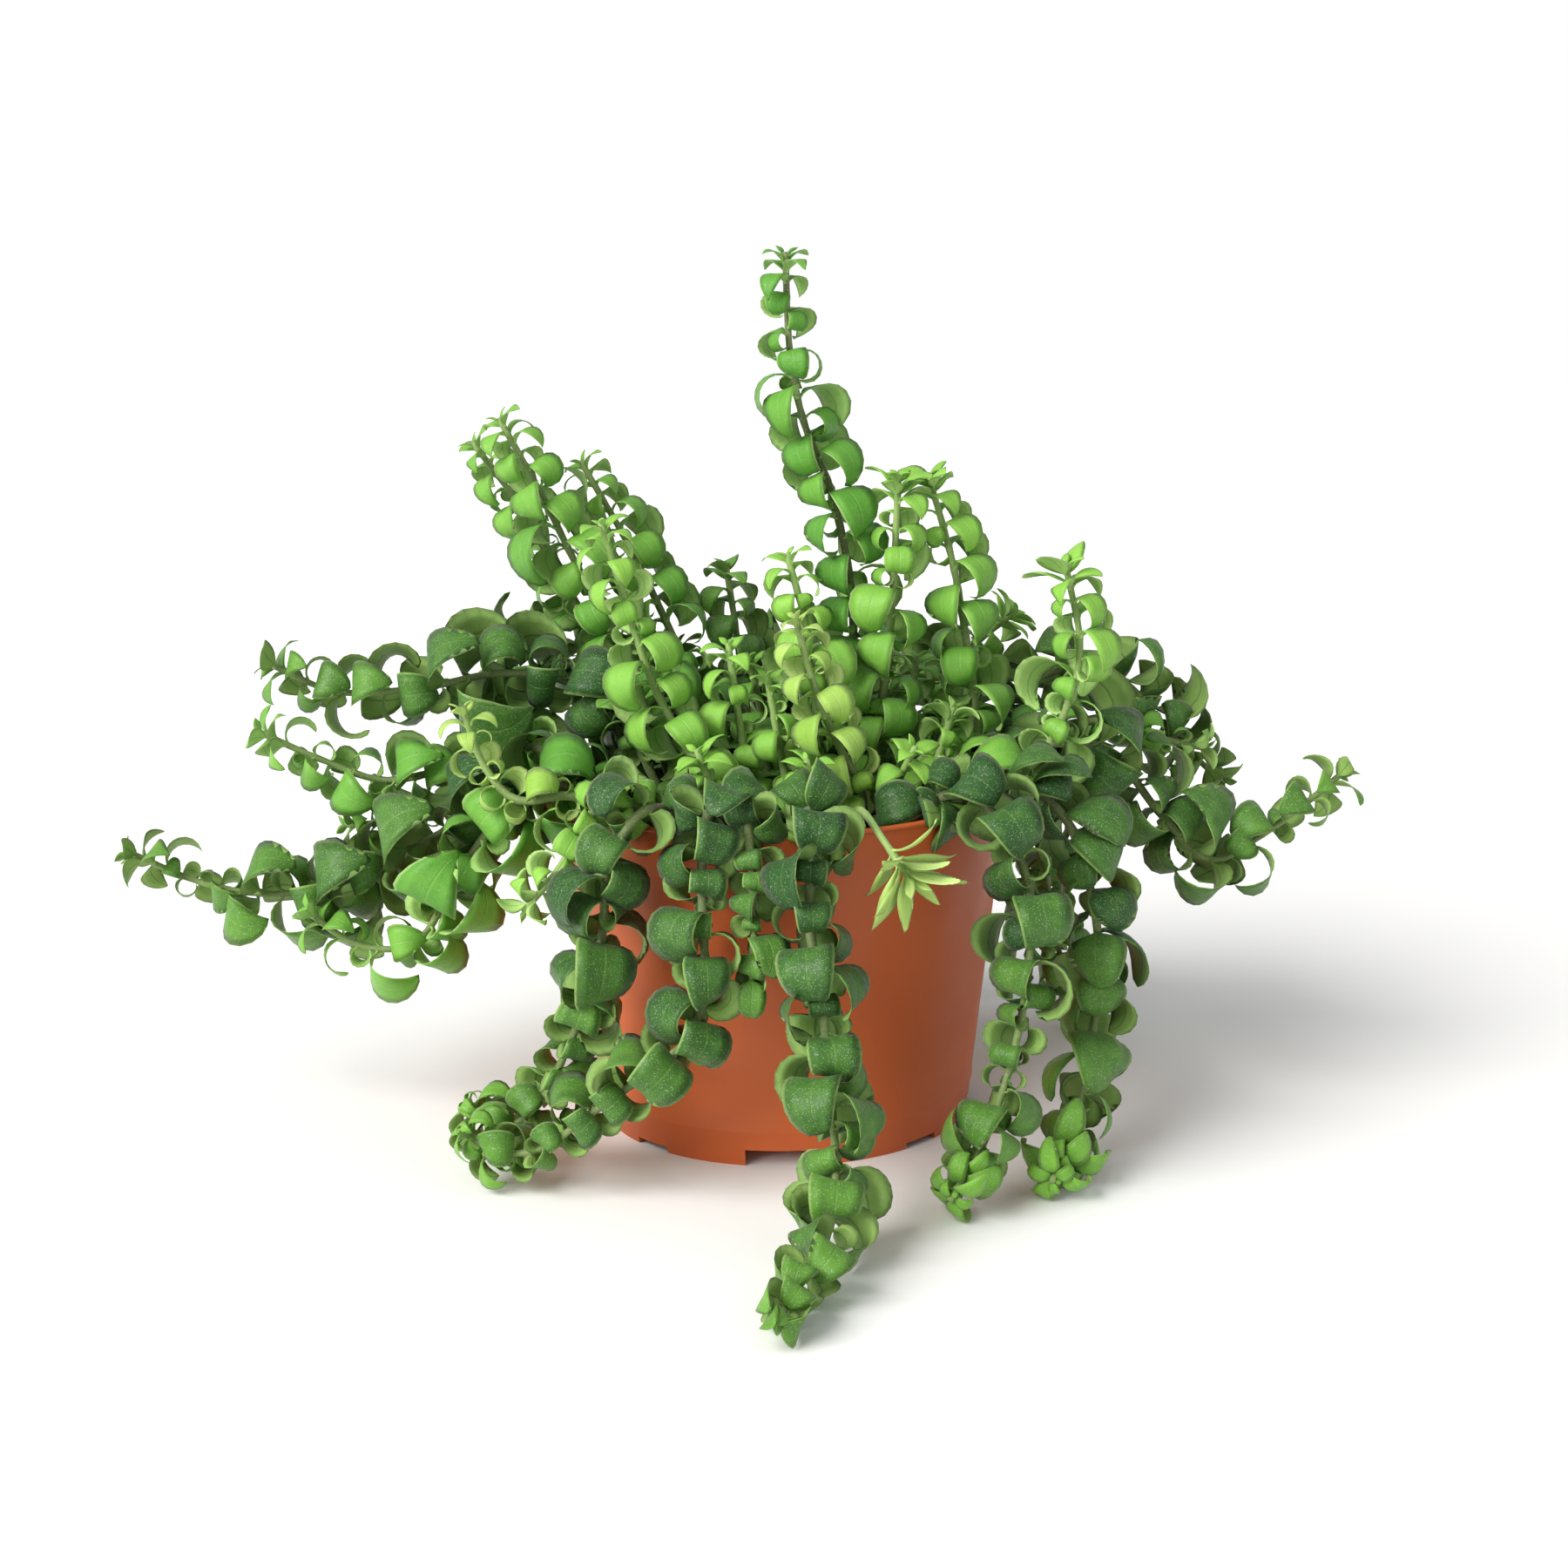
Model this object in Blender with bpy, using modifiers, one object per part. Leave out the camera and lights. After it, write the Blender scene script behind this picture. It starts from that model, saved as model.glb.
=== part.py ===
"""Potted lipstick plant: a plastic nursery pot, its soil and the curled-leaf shoots rooted in it.

Metres, +Z up, standing on z = 0. Everything is drawn around the pot's own axis, and the empty
"plant" then moves it all, so that the origin is the middle of the whole object's footprint.
"""
import math

import bmesh
import bpy
from mathutils import Matrix, Vector, geometry
from mathutils.bvhtree import BVHTree

# ---- Driving dimensions -------------------------------------------------------------------------
MM = 0.001
GAP = 0.0003                  # between pieces that touch

POT_HEIGHT = 0.112
RIM_RADIUS = 0.076
BASE_RADIUS = 0.0615
POT_WALL = 0.0014
LIP_HEIGHT = 0.0016
LIP_OUT = 0.0009
FLOOR_LIFT = 0.0065           # underside of the pot's floor above the ground
FLOOR_THICKNESS = 0.0016
TURN_STEPS = 48

FOOT_CUTS = 4                 # wide ones, with a narrow one between each two
WIDE_CUT = 0.0265
WIDE_CUT_HEIGHT = 0.0055
NARROW_CUT = 0.0135
NARROW_CUT_HEIGHT = 0.0022
FOOT_CUT_REACH = 0.0168       # in and out through the wall, at its foot
DRAIN_HOLES = 8
DRAIN_RADIUS = 0.0042
DRAIN_CIRCLE = 0.043
DRAIN_SIDES = 12

SOIL_BELOW_RIM = 0.010
SOIL_CROWN = 0.003            # how far the middle of the soil stands above its edge
SOIL_SHOULDER = (0.6, 0.7)    # where its slope breaks: share of the radius, share of the crown
ROOTING_DEPTH = 0.009
SOCKET_SIDES = 6
SOCKET_CLEARANCE = 0.0009     # round a stem's foot in the soil

STEM_RADIUS = 0.0016
TIP_SHARE = 0.55              # a stem's radius at its tip, of that at its base
STEM_STEP = 0.009             # between the rings of a stem's bare length
BUD_HALF = 0.0014             # half the stretch of stem that a pair of leaves grows from
BARE_TIP = 0.004
YOUNGEST_LEAF = 0.5           # the size of a leaf at a shoot's tip, of a grown one's
GROWING_LENGTH = 0.080        # from the tip, over which a leaf gains a grown one's length
FREE_SPACE = 0.0004           # least space left round a leaf

# The pot that the shoots' routes below are drawn round. They follow the real one's rim.
DRAWN_RIM_RADIUS = 0.076
DRAWN_HEIGHT = 0.112

# The pot's axis, seen from the middle of the whole object's footprint.
POT_AXIS = (0.0151, 0.0345)

SOIL_EDGE = POT_HEIGHT - SOIL_BELOW_RIM
FLOOR_TOP = FLOOR_LIFT + FLOOR_THICKNESS

# A leaf's sections from its foot, in shares of its length: reach from the stem, rise along it,
# width, thickness, and the way it heads in degrees from straight out. The last entry is its tip.
CURLED = {
    "sections": ((0.30, 0.07, 0.40, 0.065, 0), (0.53, -0.13, 0.36, 0.055, -72)),
    "tip": (0.36, -0.36),
}
DRAPED = {
    "sections": ((0.24, 0.03, 0.60, 0.065, 10), (0.50, 0.22, 0.56, 0.055, 55)),
    "tip": (0.56, 0.62),
}

# ---- Kinds of shoot: spacing is from one pair of leaves to the next, bare is the length below them --
MATURE_TRAIL = {"shape": DRAPED, "leaf_length": 0.027, "spacing": 0.0165, "bare": 0.034,
                "paint": "leaf_mature"}
MATURE_UPRIGHT = {"shape": CURLED, "leaf_length": 0.026, "spacing": 0.0165, "bare": 0.022,
                  "paint": "leaf_mature"}
YOUNG = {"shape": CURLED, "leaf_length": 0.024, "spacing": 0.0165, "bare": 0.022,
         "paint": "leaf_young"}
YOUNG_ARCH = {"shape": CURLED, "leaf_length": 0.025, "spacing": 0.0175, "bare": 0.036,
              "paint": "leaf_young"}
PALE = {"shape": CURLED, "leaf_length": 0.019, "spacing": 0.0150, "bare": 0.034,
        "paint": "leaf_pale"}

# ---- Routes: root in the soil (x, y), then points (x, y, z), in millimetres from the pot's axis ----
SHOOTS = {
    # upright
    "upright_centre_tall": (YOUNG, (18, 4), [(22, 1, 125), (24, 0, 150), (24, 0, 174), (18, 0, 206),
                                             (9, 0, 230), (5, 0, 252), (4, 0, 283)]),
    "upright_right_a": (YOUNG, (30, -12), [(32, -10, 130), (36, -10, 163), (39, -10, 213)]),
    "upright_right_b": (YOUNG, (53, 3), [(60, 2, 118), (64, 1, 136), (62, 0, 153), (57, 0, 183),
                                         (49, 0, 212)]),
    "upright_right_c": (YOUNG, (52, -26), [(62, -28, 114), (79, -30, 121), (89, -30, 136),
                                           (95, -30, 158), (90, -30, 187)]),
    "upright_front_a": (PALE, (26, -36), [(25, -40, 118), (19, -40, 130), (12, -40, 147),
                                          (5, -40, 173)]),
    "upright_front_b": (YOUNG, (14, -14), [(12, -9, 135), (9, -12, 164), (3, -12, 189)]),
    "upright_front_c": (YOUNG, (-8, -24), [(-12, -28, 130), (-16, -30, 163)]),
    "upright_front_d": (YOUNG, (4, -32), [(0, -32, 128), (-4, -31, 153)]),
    "upright_left_a": (MATURE_UPRIGHT, (-20, -24), [(-29, -30, 128), (-39, -30, 148),
                                                    (-47, -30, 173), (-55, -30, 202)]),
    "upright_left_b": (MATURE_UPRIGHT, (-30, 12), [(-49, 20, 148), (-66, 20, 180), (-78, 20, 206),
                                                   (-91, 20, 231)]),
    "upright_left_c": (MATURE_UPRIGHT, (-36, 26), [(-57, 34, 146), (-75, 36, 178), (-88, 36, 202),
                                                   (-102, 36, 222)]),
    "upright_left_d": (YOUNG, (-16, 24), [(-34, 34, 150), (-50, 38, 185), (-66, 38, 215)]),
    "upright_left_e": (MATURE_UPRIGHT, (-36, -16), [(-45, -20, 126), (-52, -22, 146)]),
    "upright_back_a": (MATURE_UPRIGHT, (-8, 40), [(-12, 46, 130), (-15, 50, 156), (-18, 50, 178)]),
    "upright_back_b": (YOUNG, (44, 34), [(52, 40, 128), (64, 42, 146), (82, 42, 161)]),
    "upright_back_c": (MATURE_UPRIGHT, (-24, 42), [(-30, 46, 130), (-36, 52, 150)]),
    "upright_back_d": (MATURE_UPRIGHT, (16, 28), [(18, 34, 130), (22, 40, 152)]),
    "upright_middle_a": (YOUNG, (42, 12), [(44, 16, 128), (46, 18, 150)]),
    "upright_middle_b": (MATURE_UPRIGHT, (-4, 6), [(-6, 8, 130), (-10, 10, 152)]),
    "upright_middle_c": (MATURE_UPRIGHT, (42, -22), [(50, -22, 122), (56, -18, 140)]),
    # short ones that fill the crown
    "crown_front_a": (MATURE_UPRIGHT, (-18, -42), [(-21, -46, 118), (-26, -50, 133)]),
    "crown_front_b": (YOUNG, (33, -37), [(36, -41, 118), (42, -46, 132)]),
    "crown_front_c": (YOUNG, (10, -46), [(10, -50, 118), (8, -54, 130)]),
    "crown_left_a": (MATURE_UPRIGHT, (-34, -2), [(-40, -4, 124), (-46, -6, 143)]),
    "crown_left_b": (MATURE_UPRIGHT, (-43, 19), [(-50, 21, 122), (-60, 23, 139)]),
    "crown_right_a": (YOUNG, (45, -7), [(50, -8, 120), (58, -10, 137)]),
    "crown_right_b": (MATURE_UPRIGHT, (33, 26), [(37, 29, 124), (41, 31, 145)]),
    # arching out over the rim
    "arch_left_a": (MATURE_UPRIGHT, (-46, 6), [(-54, 6, 128), (-67, 4, 144), (-90, 2, 149),
                                               (-117, 0, 145), (-145, 0, 144), (-168, 0, 154)]),
    "arch_left_b": (YOUNG_ARCH, (-56, -8), [(-66, -8, 118), (-84, -6, 126), (-108, -3, 119),
                                            (-131, 0, 114), (-151, 0, 121), (-172, 0, 131)]),
    "arch_left_c": (MATURE_UPRIGHT, (-56, -22), [(-62, -24, 112), (-78, -23, 119), (-105, -16, 103),
                                                 (-137, -10, 85), (-166, -5, 77), (-192, -2, 80),
                                                 (-218, 0, 91)]),
    "arch_left_d": (YOUNG_ARCH, (-62, 8), [(-66, 9, 113), (-80, 12, 119), (-104, 10, 108),
                                           (-128, 6, 99), (-146, 4, 98)]),
    "arch_left_e": (YOUNG_ARCH, (-50, -36), [(-56, -38, 112), (-74, -40, 118), (-92, -37, 106),
                                             (-106, -34, 86), (-119, -31, 67), (-137, -30, 66),
                                             (-154, -30, 78)]),
    "arch_left_f": (PALE, (-43, -45), [(-46, -48, 113), (-66, -54, 120), (-82, -54, 119),
                                       (-92, -52, 130), (-98, -50, 148)]),
    "arch_left_g": (YOUNG, (-35, -52), [(-37, -55, 113), (-54, -66, 120), (-68, -70, 101),
                                        (-80, -64, 86)]),
    "arch_right_a": (YOUNG_ARCH, (60, -10), [(67, -12, 114), (84, -12, 125), (108, -10, 120),
                                             (125, -10, 100), (141, -10, 85), (156, -8, 91),
                                             (172, -4, 101), (187, 0, 112)]),
    "arch_right_b": (MATURE_UPRIGHT, (56, 20), [(62, 22, 116), (82, 26, 135), (100, 30, 144),
                                                (117, 32, 138), (136, 32, 117), (153, 32, 101)]),
    "arch_right_c": (YOUNG, (60, 9), [(67, 10, 114), (88, 12, 125), (112, 14, 127),
                                      (130, 17, 120), (145, 20, 116)]),
    "arch_back_left": (MATURE_UPRIGHT, (-44, 38), [(-52, 42, 126), (-64, 46, 146), (-79, 46, 153),
                                                   (-92, 46, 147), (-102, 48, 133)]),
    "arch_back_a": (MATURE_UPRIGHT, (30, 44), [(34, 52, 124), (44, 64, 136), (56, 78, 131),
                                               (66, 90, 113), (74, 98, 96)]),
    "arch_back_b": (MATURE_UPRIGHT, (4, 52), [(5, 58, 124), (4, 72, 138), (2, 88, 134),
                                              (0, 102, 118), (-2, 112, 100)]),
    # trailing down the pot
    "trail_left_a": (MATURE_TRAIL, (-24, -54), [(-27, -59, 112), (-41, -71, 119), (-52, -77, 104),
                                                (-55, -78, 82), (-61, -76, 60), (-70, -70, 38),
                                                (-79, -62, 21), (-90, -54, 13), (-103, -50, 20)]),
    "trail_left_b": (MATURE_TRAIL, (-14, -57), [(-17, -63, 112), (-22, -77, 119), (-24, -86, 105),
                                                (-24, -90, 89), (-24, -93, 68), (-31, -94, 52),
                                                (-46, -91, 39), (-61, -87, 27), (-76, -82, 15),
                                                (-90, -77, 13), (-101, -74, 21)]),
    "trail_front_a": (MATURE_TRAIL, (-5, -59), [(-7, -65, 112), (-10, -78, 119), (-9, -88, 102),
                                                (-9, -92, 82), (-10, -94, 66)]),
    "trail_front_b": (MATURE_TRAIL, (6, -58), [(7, -65, 112), (8, -78, 119), (8, -92, 105),
                                               (8, -100, 88), (11, -107, 66), (13, -117, 43),
                                               (14, -131, 23), (10, -152, 12), (2, -173, 8),
                                               (-3, -193, 9)]),
    "trail_front_c": (PALE, (19, -55), [(21, -62, 112), (24, -76, 119), (30, -89, 113),
                                        (38, -97, 102)]),
    "trail_right_a": (MATURE_TRAIL, (41, -47), [(44, -49, 113), (57, -61, 120), (69, -71, 109),
                                                (75, -78, 90), (73, -84, 64), (67, -91, 40),
                                                (58, -100, 19), (48, -113, 9)]),
    "trail_right_b": (MATURE_TRAIL, (52, -37), [(56, -39, 113), (72, -47, 121), (88, -52, 110),
                                                (95, -54, 92), (99, -55, 65), (96, -60, 37),
                                                (89, -75, 15), (80, -97, 8)]),
    "trail_back_a": (MATURE_TRAIL, (28, 55), [(30, 59, 112), (37, 73, 120), (43, 87, 103),
                                              (44, 92, 74), (45, 97, 44), (50, 108, 20),
                                              (57, 124, 9)]),
    "trail_back_b": (MATURE_TRAIL, (-16, 58), [(-18, 64, 112), (-21, 78, 119), (-24, 91, 101),
                                               (-26, 95, 70), (-28, 99, 42), (-32, 104, 24)]),
    "trail_back_c": (MATURE_TRAIL, (-36, 54), [(-38, 57, 112), (-46, 69, 120), (-52, 81, 104),
                                               (-54, 85, 76), (-55, 89, 46), (-59, 97, 21),
                                               (-66, 110, 9)]),
    "trail_back_d": (MATURE_TRAIL, (52, 30), [(56, 33, 113), (73, 41, 120), (88, 51, 104),
                                              (93, 56, 76), (97, 60, 46), (104, 68, 21),
                                              (114, 80, 9)]),
}


# ---- Places -------------------------------------------------------------------------------------
def wall_radius(height):
    """The pot's outer radius at a height, without its lip."""
    top = RIM_RADIUS - LIP_OUT
    return BASE_RADIUS + (top - BASE_RADIUS) * height / POT_HEIGHT


def inner_radius(height):
    return wall_radius(height) - POT_WALL


def follow_pot(x, y, z):
    """Carry a point drawn round the drawn pot to the same place round the real one's rim."""
    radius = math.hypot(x, y)
    if radius <= DRAWN_RIM_RADIUS:
        spread = RIM_RADIUS / DRAWN_RIM_RADIUS
    else:
        spread = (radius + RIM_RADIUS - DRAWN_RIM_RADIUS) / radius
    if z <= DRAWN_HEIGHT:
        height = z * POT_HEIGHT / DRAWN_HEIGHT
    else:
        height = z + POT_HEIGHT - DRAWN_HEIGHT
    return Vector((x * spread, y * spread, height))


def route_points(root, points):
    """A shoot's own points: straight up out of its socket, then along its route."""
    start = []
    for height in (GAP - ROOTING_DEPTH, -SOIL_CROWN, SOIL_CROWN):
        start.append(follow_pot(root[0] * MM, root[1] * MM, 0))
        start[-1].z = SOIL_EDGE + height
    return start + [follow_pot(*(value * MM for value in point)) for point in points]


def smooth_line(points, resolution=10):
    """A curve through the points, as a fine polyline."""
    line = []
    for i in range(len(points) - 1):
        before = points[max(i - 1, 0)]
        here = points[i]
        there = points[i + 1]
        after = points[min(i + 2, len(points) - 1)]
        span = (there - here).length
        out = (there - before).normalized() * span / 3
        back = (after - here).normalized() * span / 3
        piece = geometry.interpolate_bezier(here, here + out, there - back, there, resolution + 1)
        line += piece[:-1]
    return line + [points[-1].copy()]


def points_along(line, distances):
    """Points at these distances along a polyline."""
    result = []
    i = 0
    start = 0.0
    for distance in distances:
        step = (line[i + 1] - line[i]).length
        while distance > start + step and i < len(line) - 2:
            start += step
            i += 1
            step = (line[i + 1] - line[i]).length
        result.append(line[i].lerp(line[i + 1], (distance - start) / step))
    return result


def length_of(line):
    return sum((b - a).length for a, b in zip(line, line[1:]))


# ---- Objects ------------------------------------------------------------------------------------
def material(name, color, roughness):
    result = bpy.data.materials.new(name)
    result.use_nodes = True
    shader = result.node_tree.nodes["Principled BSDF"]
    shader.inputs["Base Color"].default_value = (*color, 1.0)
    shader.inputs["Roughness"].default_value = roughness
    shader.inputs["Metallic"].default_value = 0.0
    return result


def add_object(name, mesh, collection, parent=None, paint=None):
    part = bpy.data.objects.new(name, mesh)
    collection.objects.link(part)
    part.parent = parent
    if paint:
        mesh.materials.append(paint)
    return part


def turned(name, profile, collection, parent, paint):
    """A solid turned from a profile that starts and ends on the axis."""
    mesh = bpy.data.meshes.new(name)
    corners = [(radius, 0, height) for radius, height in profile]
    mesh.from_pydata(corners, [(i, i + 1) for i in range(len(corners) - 1)], [])
    part = add_object(name, mesh, collection, parent, paint)
    turn = part.modifiers.new("Turn", "SCREW")
    turn.steps = TURN_STEPS
    turn.render_steps = TURN_STEPS
    turn.use_merge_vertices = True
    turn.merge_threshold = 0.00001
    return part


def add_cutter(name, mesh, collection, parent):
    cutter = add_object(name, mesh, collection, parent)
    cutter.hide_render = True
    cutter.display_type = "WIRE"
    return cutter


def cut(part, cutter):
    boolean = part.modifiers.new(cutter.name, "BOOLEAN")
    boolean.operation = "DIFFERENCE"
    boolean.object = cutter


def box_mesh(name, sizes, places):
    """Boxes of one size each, joined in a mesh."""
    bm = bmesh.new()
    for size, place in zip(sizes, places):
        bmesh.ops.create_cube(bm, size=1, matrix=place @ Matrix.Diagonal((*size, 1)))
    mesh = bpy.data.meshes.new(name)
    bm.to_mesh(mesh)
    bm.free()
    return mesh


def rod_mesh(name, radius, length, sides, places):
    """Upright rods of one size, joined in a mesh."""
    bm = bmesh.new()
    for place in places:
        bmesh.ops.create_cone(bm, cap_ends=True, segments=sides, radius1=radius, radius2=radius,
                              depth=length, matrix=Matrix.Translation(place))
    mesh = bpy.data.meshes.new(name)
    bm.to_mesh(mesh)
    bm.free()
    return mesh


# ---- Pot and soil -------------------------------------------------------------------------------
def make_pot(parts, cutters, parent, paint):
    lip_foot = POT_HEIGHT - LIP_HEIGHT
    pot = turned("nursery_pot", [
        (0, FLOOR_TOP),
        (inner_radius(FLOOR_TOP), FLOOR_TOP),
        (inner_radius(POT_HEIGHT), POT_HEIGHT),
        (RIM_RADIUS, POT_HEIGHT),
        (RIM_RADIUS, lip_foot),
        (wall_radius(lip_foot), lip_foot),
        (BASE_RADIUS, 0),
        (BASE_RADIUS - POT_WALL, 0),
        (inner_radius(FLOOR_LIFT), FLOOR_LIFT),
        (0, FLOOR_LIFT),
    ], parts, parent, paint)

    sizes = []
    places = []
    for i in range(2 * FOOT_CUTS):
        wide = i % 2 == 0
        width = WIDE_CUT if wide else NARROW_CUT
        height = WIDE_CUT_HEIGHT if wide else NARROW_CUT_HEIGHT
        sizes.append((FOOT_CUT_REACH, width, 2 * height))
        turn = Matrix.Rotation(math.pi * i / FOOT_CUTS, 4, "Z")
        places.append(turn @ Matrix.Translation((BASE_RADIUS, 0, 0)))
    cut(pot, add_cutter("foot_cuts", box_mesh("foot_cuts", sizes, places), cutters, parent))

    holes = []
    for i in range(DRAIN_HOLES):
        angle = 2 * math.pi * (i + 0.5) / DRAIN_HOLES
        holes.append((DRAIN_CIRCLE * math.cos(angle), DRAIN_CIRCLE * math.sin(angle),
                      FLOOR_LIFT + FLOOR_THICKNESS / 2))
    drains = rod_mesh("drains", DRAIN_RADIUS, 2 * FLOOR_THICKNESS, DRAIN_SIDES, holes)
    cut(pot, add_cutter("drains", drains, cutters, parent))


def make_soil(parts, cutters, parent, paint):
    underside = FLOOR_TOP + GAP
    edge = inner_radius(SOIL_EDGE) - GAP
    shoulder = (edge * SOIL_SHOULDER[0], SOIL_EDGE + SOIL_CROWN * SOIL_SHOULDER[1])
    soil = turned("soil", [
        (0, SOIL_EDGE + SOIL_CROWN),
        shoulder,
        (edge, SOIL_EDGE),
        (inner_radius(underside) - GAP, underside),
        (0, underside),
    ], parts, parent, paint)

    top = SOIL_EDGE + 2 * SOIL_CROWN
    bottom = SOIL_EDGE - ROOTING_DEPTH
    roots = []
    for _, root, _ in SHOOTS.values():
        place = follow_pot(root[0] * MM, root[1] * MM, 0)
        place.z = (top + bottom) / 2
        roots.append(place)
    sockets = rod_mesh("root_sockets", STEM_RADIUS + SOCKET_CLEARANCE, top - bottom,
                       SOCKET_SIDES, roots)
    cut(soil, add_cutter("root_sockets", sockets, cutters, parent))


# ---- Shoots -------------------------------------------------------------------------------------
def extrude(bm, face, move):
    """Pull one face out by a transform. Returns the end face and the sides it leaves behind."""
    end = bmesh.ops.extrude_discrete_faces(bm, faces=[face])["faces"][0]
    sides = [next(other for other in edge.link_faces if other is not end) for edge in end.edges]
    bmesh.ops.transform(bm, matrix=move, verts=end.verts)
    return end, sides


def ring_places(points, radii):
    """A transform for each ring of a stem, turned as little as possible from one to the next."""
    places = []
    side = Vector((1, 0, 0))
    for i, point in enumerate(points):
        before = points[max(i - 1, 0)]
        after = points[min(i + 1, len(points) - 1)]
        heading = (after - before).normalized()
        side = (side - heading * side.dot(heading)).normalized()
        across = heading.cross(side)
        turn = Matrix((side, across, heading)).transposed().to_4x4()
        wide = radii[i] * math.sqrt(2)
        places.append(Matrix.Translation(point) @ turn @ Matrix.Diagonal((wide, wide, 1, 1)))
    return places


def leaf_root(face, heading):
    """The transform that carries a unit square to a side face of the stem, and its size."""
    out = face.normal.copy()
    along = (heading - out * heading.dot(out)).normalized()
    across = along.cross(out)
    turn = Matrix((across, along, out)).transposed().to_4x4()
    place = Matrix.Translation(face.calc_center_median()) @ turn
    edges = [vert.co - place.translation for vert in face.verts]
    width = 2 * max(abs(edge.dot(across)) for edge in edges)
    height = 2 * max(abs(edge.dot(along)) for edge in edges)
    return place, width, height


def leaf_steps(place, width, height, shape, length, room):
    """Where a leaf's sections lie, from its foot on. room makes it larger all round, for testing."""
    steps = [place @ Matrix.Diagonal((width + 2 * room, height + 2 * room, 1, 1))]
    for reach, rise, wide, thick, angle in shape["sections"]:
        move = Matrix.Translation((0, rise * length, reach * length))
        turn = Matrix.Rotation(math.radians(-angle), 4, "X")
        size = (wide * length + 2 * room, thick * length + 2 * room, 1, 1)
        steps.append(place @ move @ turn @ Matrix.Diagonal(size))
    return steps


def grow_leaf(bm, face, steps, place, shape, length):
    """Pull a leaf out of a face and draw its end together to a tip."""
    for here, there in zip(steps, steps[1:]):
        face, _ = extrude(bm, face, there @ here.inverted())
    face, _ = extrude(bm, face, Matrix.Identity(4))
    reach, rise = shape["tip"]
    tip = place @ Vector((0, rise * length, reach * length))
    bmesh.ops.pointmerge(bm, verts=list(face.verts), merge_co=tip)


def leaf_tree(steps, place, shape, length):
    """A tree of a leaf's faces, to test what it meets."""
    bm = bmesh.new()
    bmesh.ops.create_grid(bm, x_segments=1, y_segments=1, size=0.5, matrix=steps[0])
    bm.faces.ensure_lookup_table()
    grow_leaf(bm, bm.faces[0], steps, place, shape, length)
    tree = BVHTree.FromBMesh(bm)
    bm.free()
    return tree


def stem_rings(line, spacing, bare):
    """Distances of the rings along a stem, and which stretches carry a pair of leaves."""
    total = length_of(line)
    last = total - BARE_TIP
    count = max(1, int((last - bare) / spacing))
    step = (last - bare) / count
    nodes = [bare + step * (i + 1) for i in range(count)]
    rings = [0.0]
    first = nodes[0] - BUD_HALF
    bends = max(2, round(first / STEM_STEP))
    rings += [first * (i + 1) / bends for i in range(bends - 1)]
    pairs = []
    for node in nodes:
        pairs.append(len(rings))
        rings += [node - BUD_HALF, node + BUD_HALF]
    return rings + [total], pairs


def make_stem(name, kind, root, points):
    """The bare stem, and the faces that its leaves grow from."""
    line = smooth_line(route_points(root, points))
    rings, pairs = stem_rings(line, kind["spacing"], kind["bare"])
    total = rings[-1]
    radii = [STEM_RADIUS * (1 - (1 - TIP_SHARE) * ring / total) for ring in rings]
    places = ring_places(points_along(line, rings), radii)
    bm = bmesh.new()
    bmesh.ops.create_cube(bm, size=1)
    lower = [vert for vert in bm.verts if vert.co.z < 0]
    upper = [vert for vert in bm.verts if vert.co.z > 0]
    top = next(face for face in bm.faces if face.normal.z > 0.5)
    bmesh.ops.transform(bm, matrix=places[0] @ Matrix.Translation((0, 0, 0.5)), verts=lower)
    bmesh.ops.transform(bm, matrix=places[1] @ Matrix.Translation((0, 0, -0.5)), verts=upper)
    buds = []
    for i in range(1, len(places) - 1):
        top, sides = extrude(bm, top, places[i + 1] @ places[i].inverted())
        if i in pairs:
            heading = (places[i + 1].translation - places[i].translation).normalized()
            grown = min(1.0, YOUNGEST_LEAF + (total - rings[i]) / GROWING_LENGTH)
            length = kind["leaf_length"] * grown
            first = pairs.index(i) % 2
            buds += [(sides[first], heading, length), (sides[first + 2], heading, length)]
    bm.normal_update()
    return bm, buds


def add_leaves(stems, buds, standing):
    """Grow each leaf that has room: clear of the pot, the soil, the ground and other shoots."""
    trees = {name: BVHTree.FromBMesh(bm) for name, bm in stems.items()}
    for name, shoot_buds in buds.items():
        shape = SHOOTS[name][0]["shape"]
        bm = stems[name]
        for face, heading, length in shoot_buds:
            place, width, height = leaf_root(face, heading)
            whole = leaf_tree(leaf_steps(place, width, height, shape, length, FREE_SPACE),
                              place, shape, length)
            outer = leaf_tree(leaf_steps(place, width, height, shape, length, FREE_SPACE)[1:],
                              place, shape, length)
            others = [tree for other, tree in trees.items() if other != name] + standing
            if any(whole.overlap(tree) for tree in others) or outer.overlap(trees[name]):
                continue
            grow_leaf(bm, face, leaf_steps(place, width, height, shape, length, 0),
                      place, shape, length)
            trees[name] = BVHTree.FromBMesh(bm)


def standing_trees(parts):
    """Trees of the pot, the soil and the ground."""
    depsgraph = bpy.context.evaluated_depsgraph_get()
    trees = [BVHTree.FromObject(part, depsgraph) for part in parts]
    ground = bmesh.new()
    bmesh.ops.create_grid(ground, x_segments=1, y_segments=1, size=1)
    trees.append(BVHTree.FromBMesh(ground))
    ground.free()
    return trees


def make_shoots(parts, parent, paints, standing):
    stems = {}
    buds = {}
    for name, (kind, root, points) in SHOOTS.items():
        stems[name], buds[name] = make_stem(name, kind, root, points)
    add_leaves(stems, buds, standing)
    for name, bm in stems.items():
        bmesh.ops.recalc_face_normals(bm, faces=bm.faces)
        mesh = bpy.data.meshes.new(name)
        bm.to_mesh(mesh)
        bm.free()
        add_object(name, mesh, parts, parent, paints[SHOOTS[name][0]["paint"]])


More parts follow.
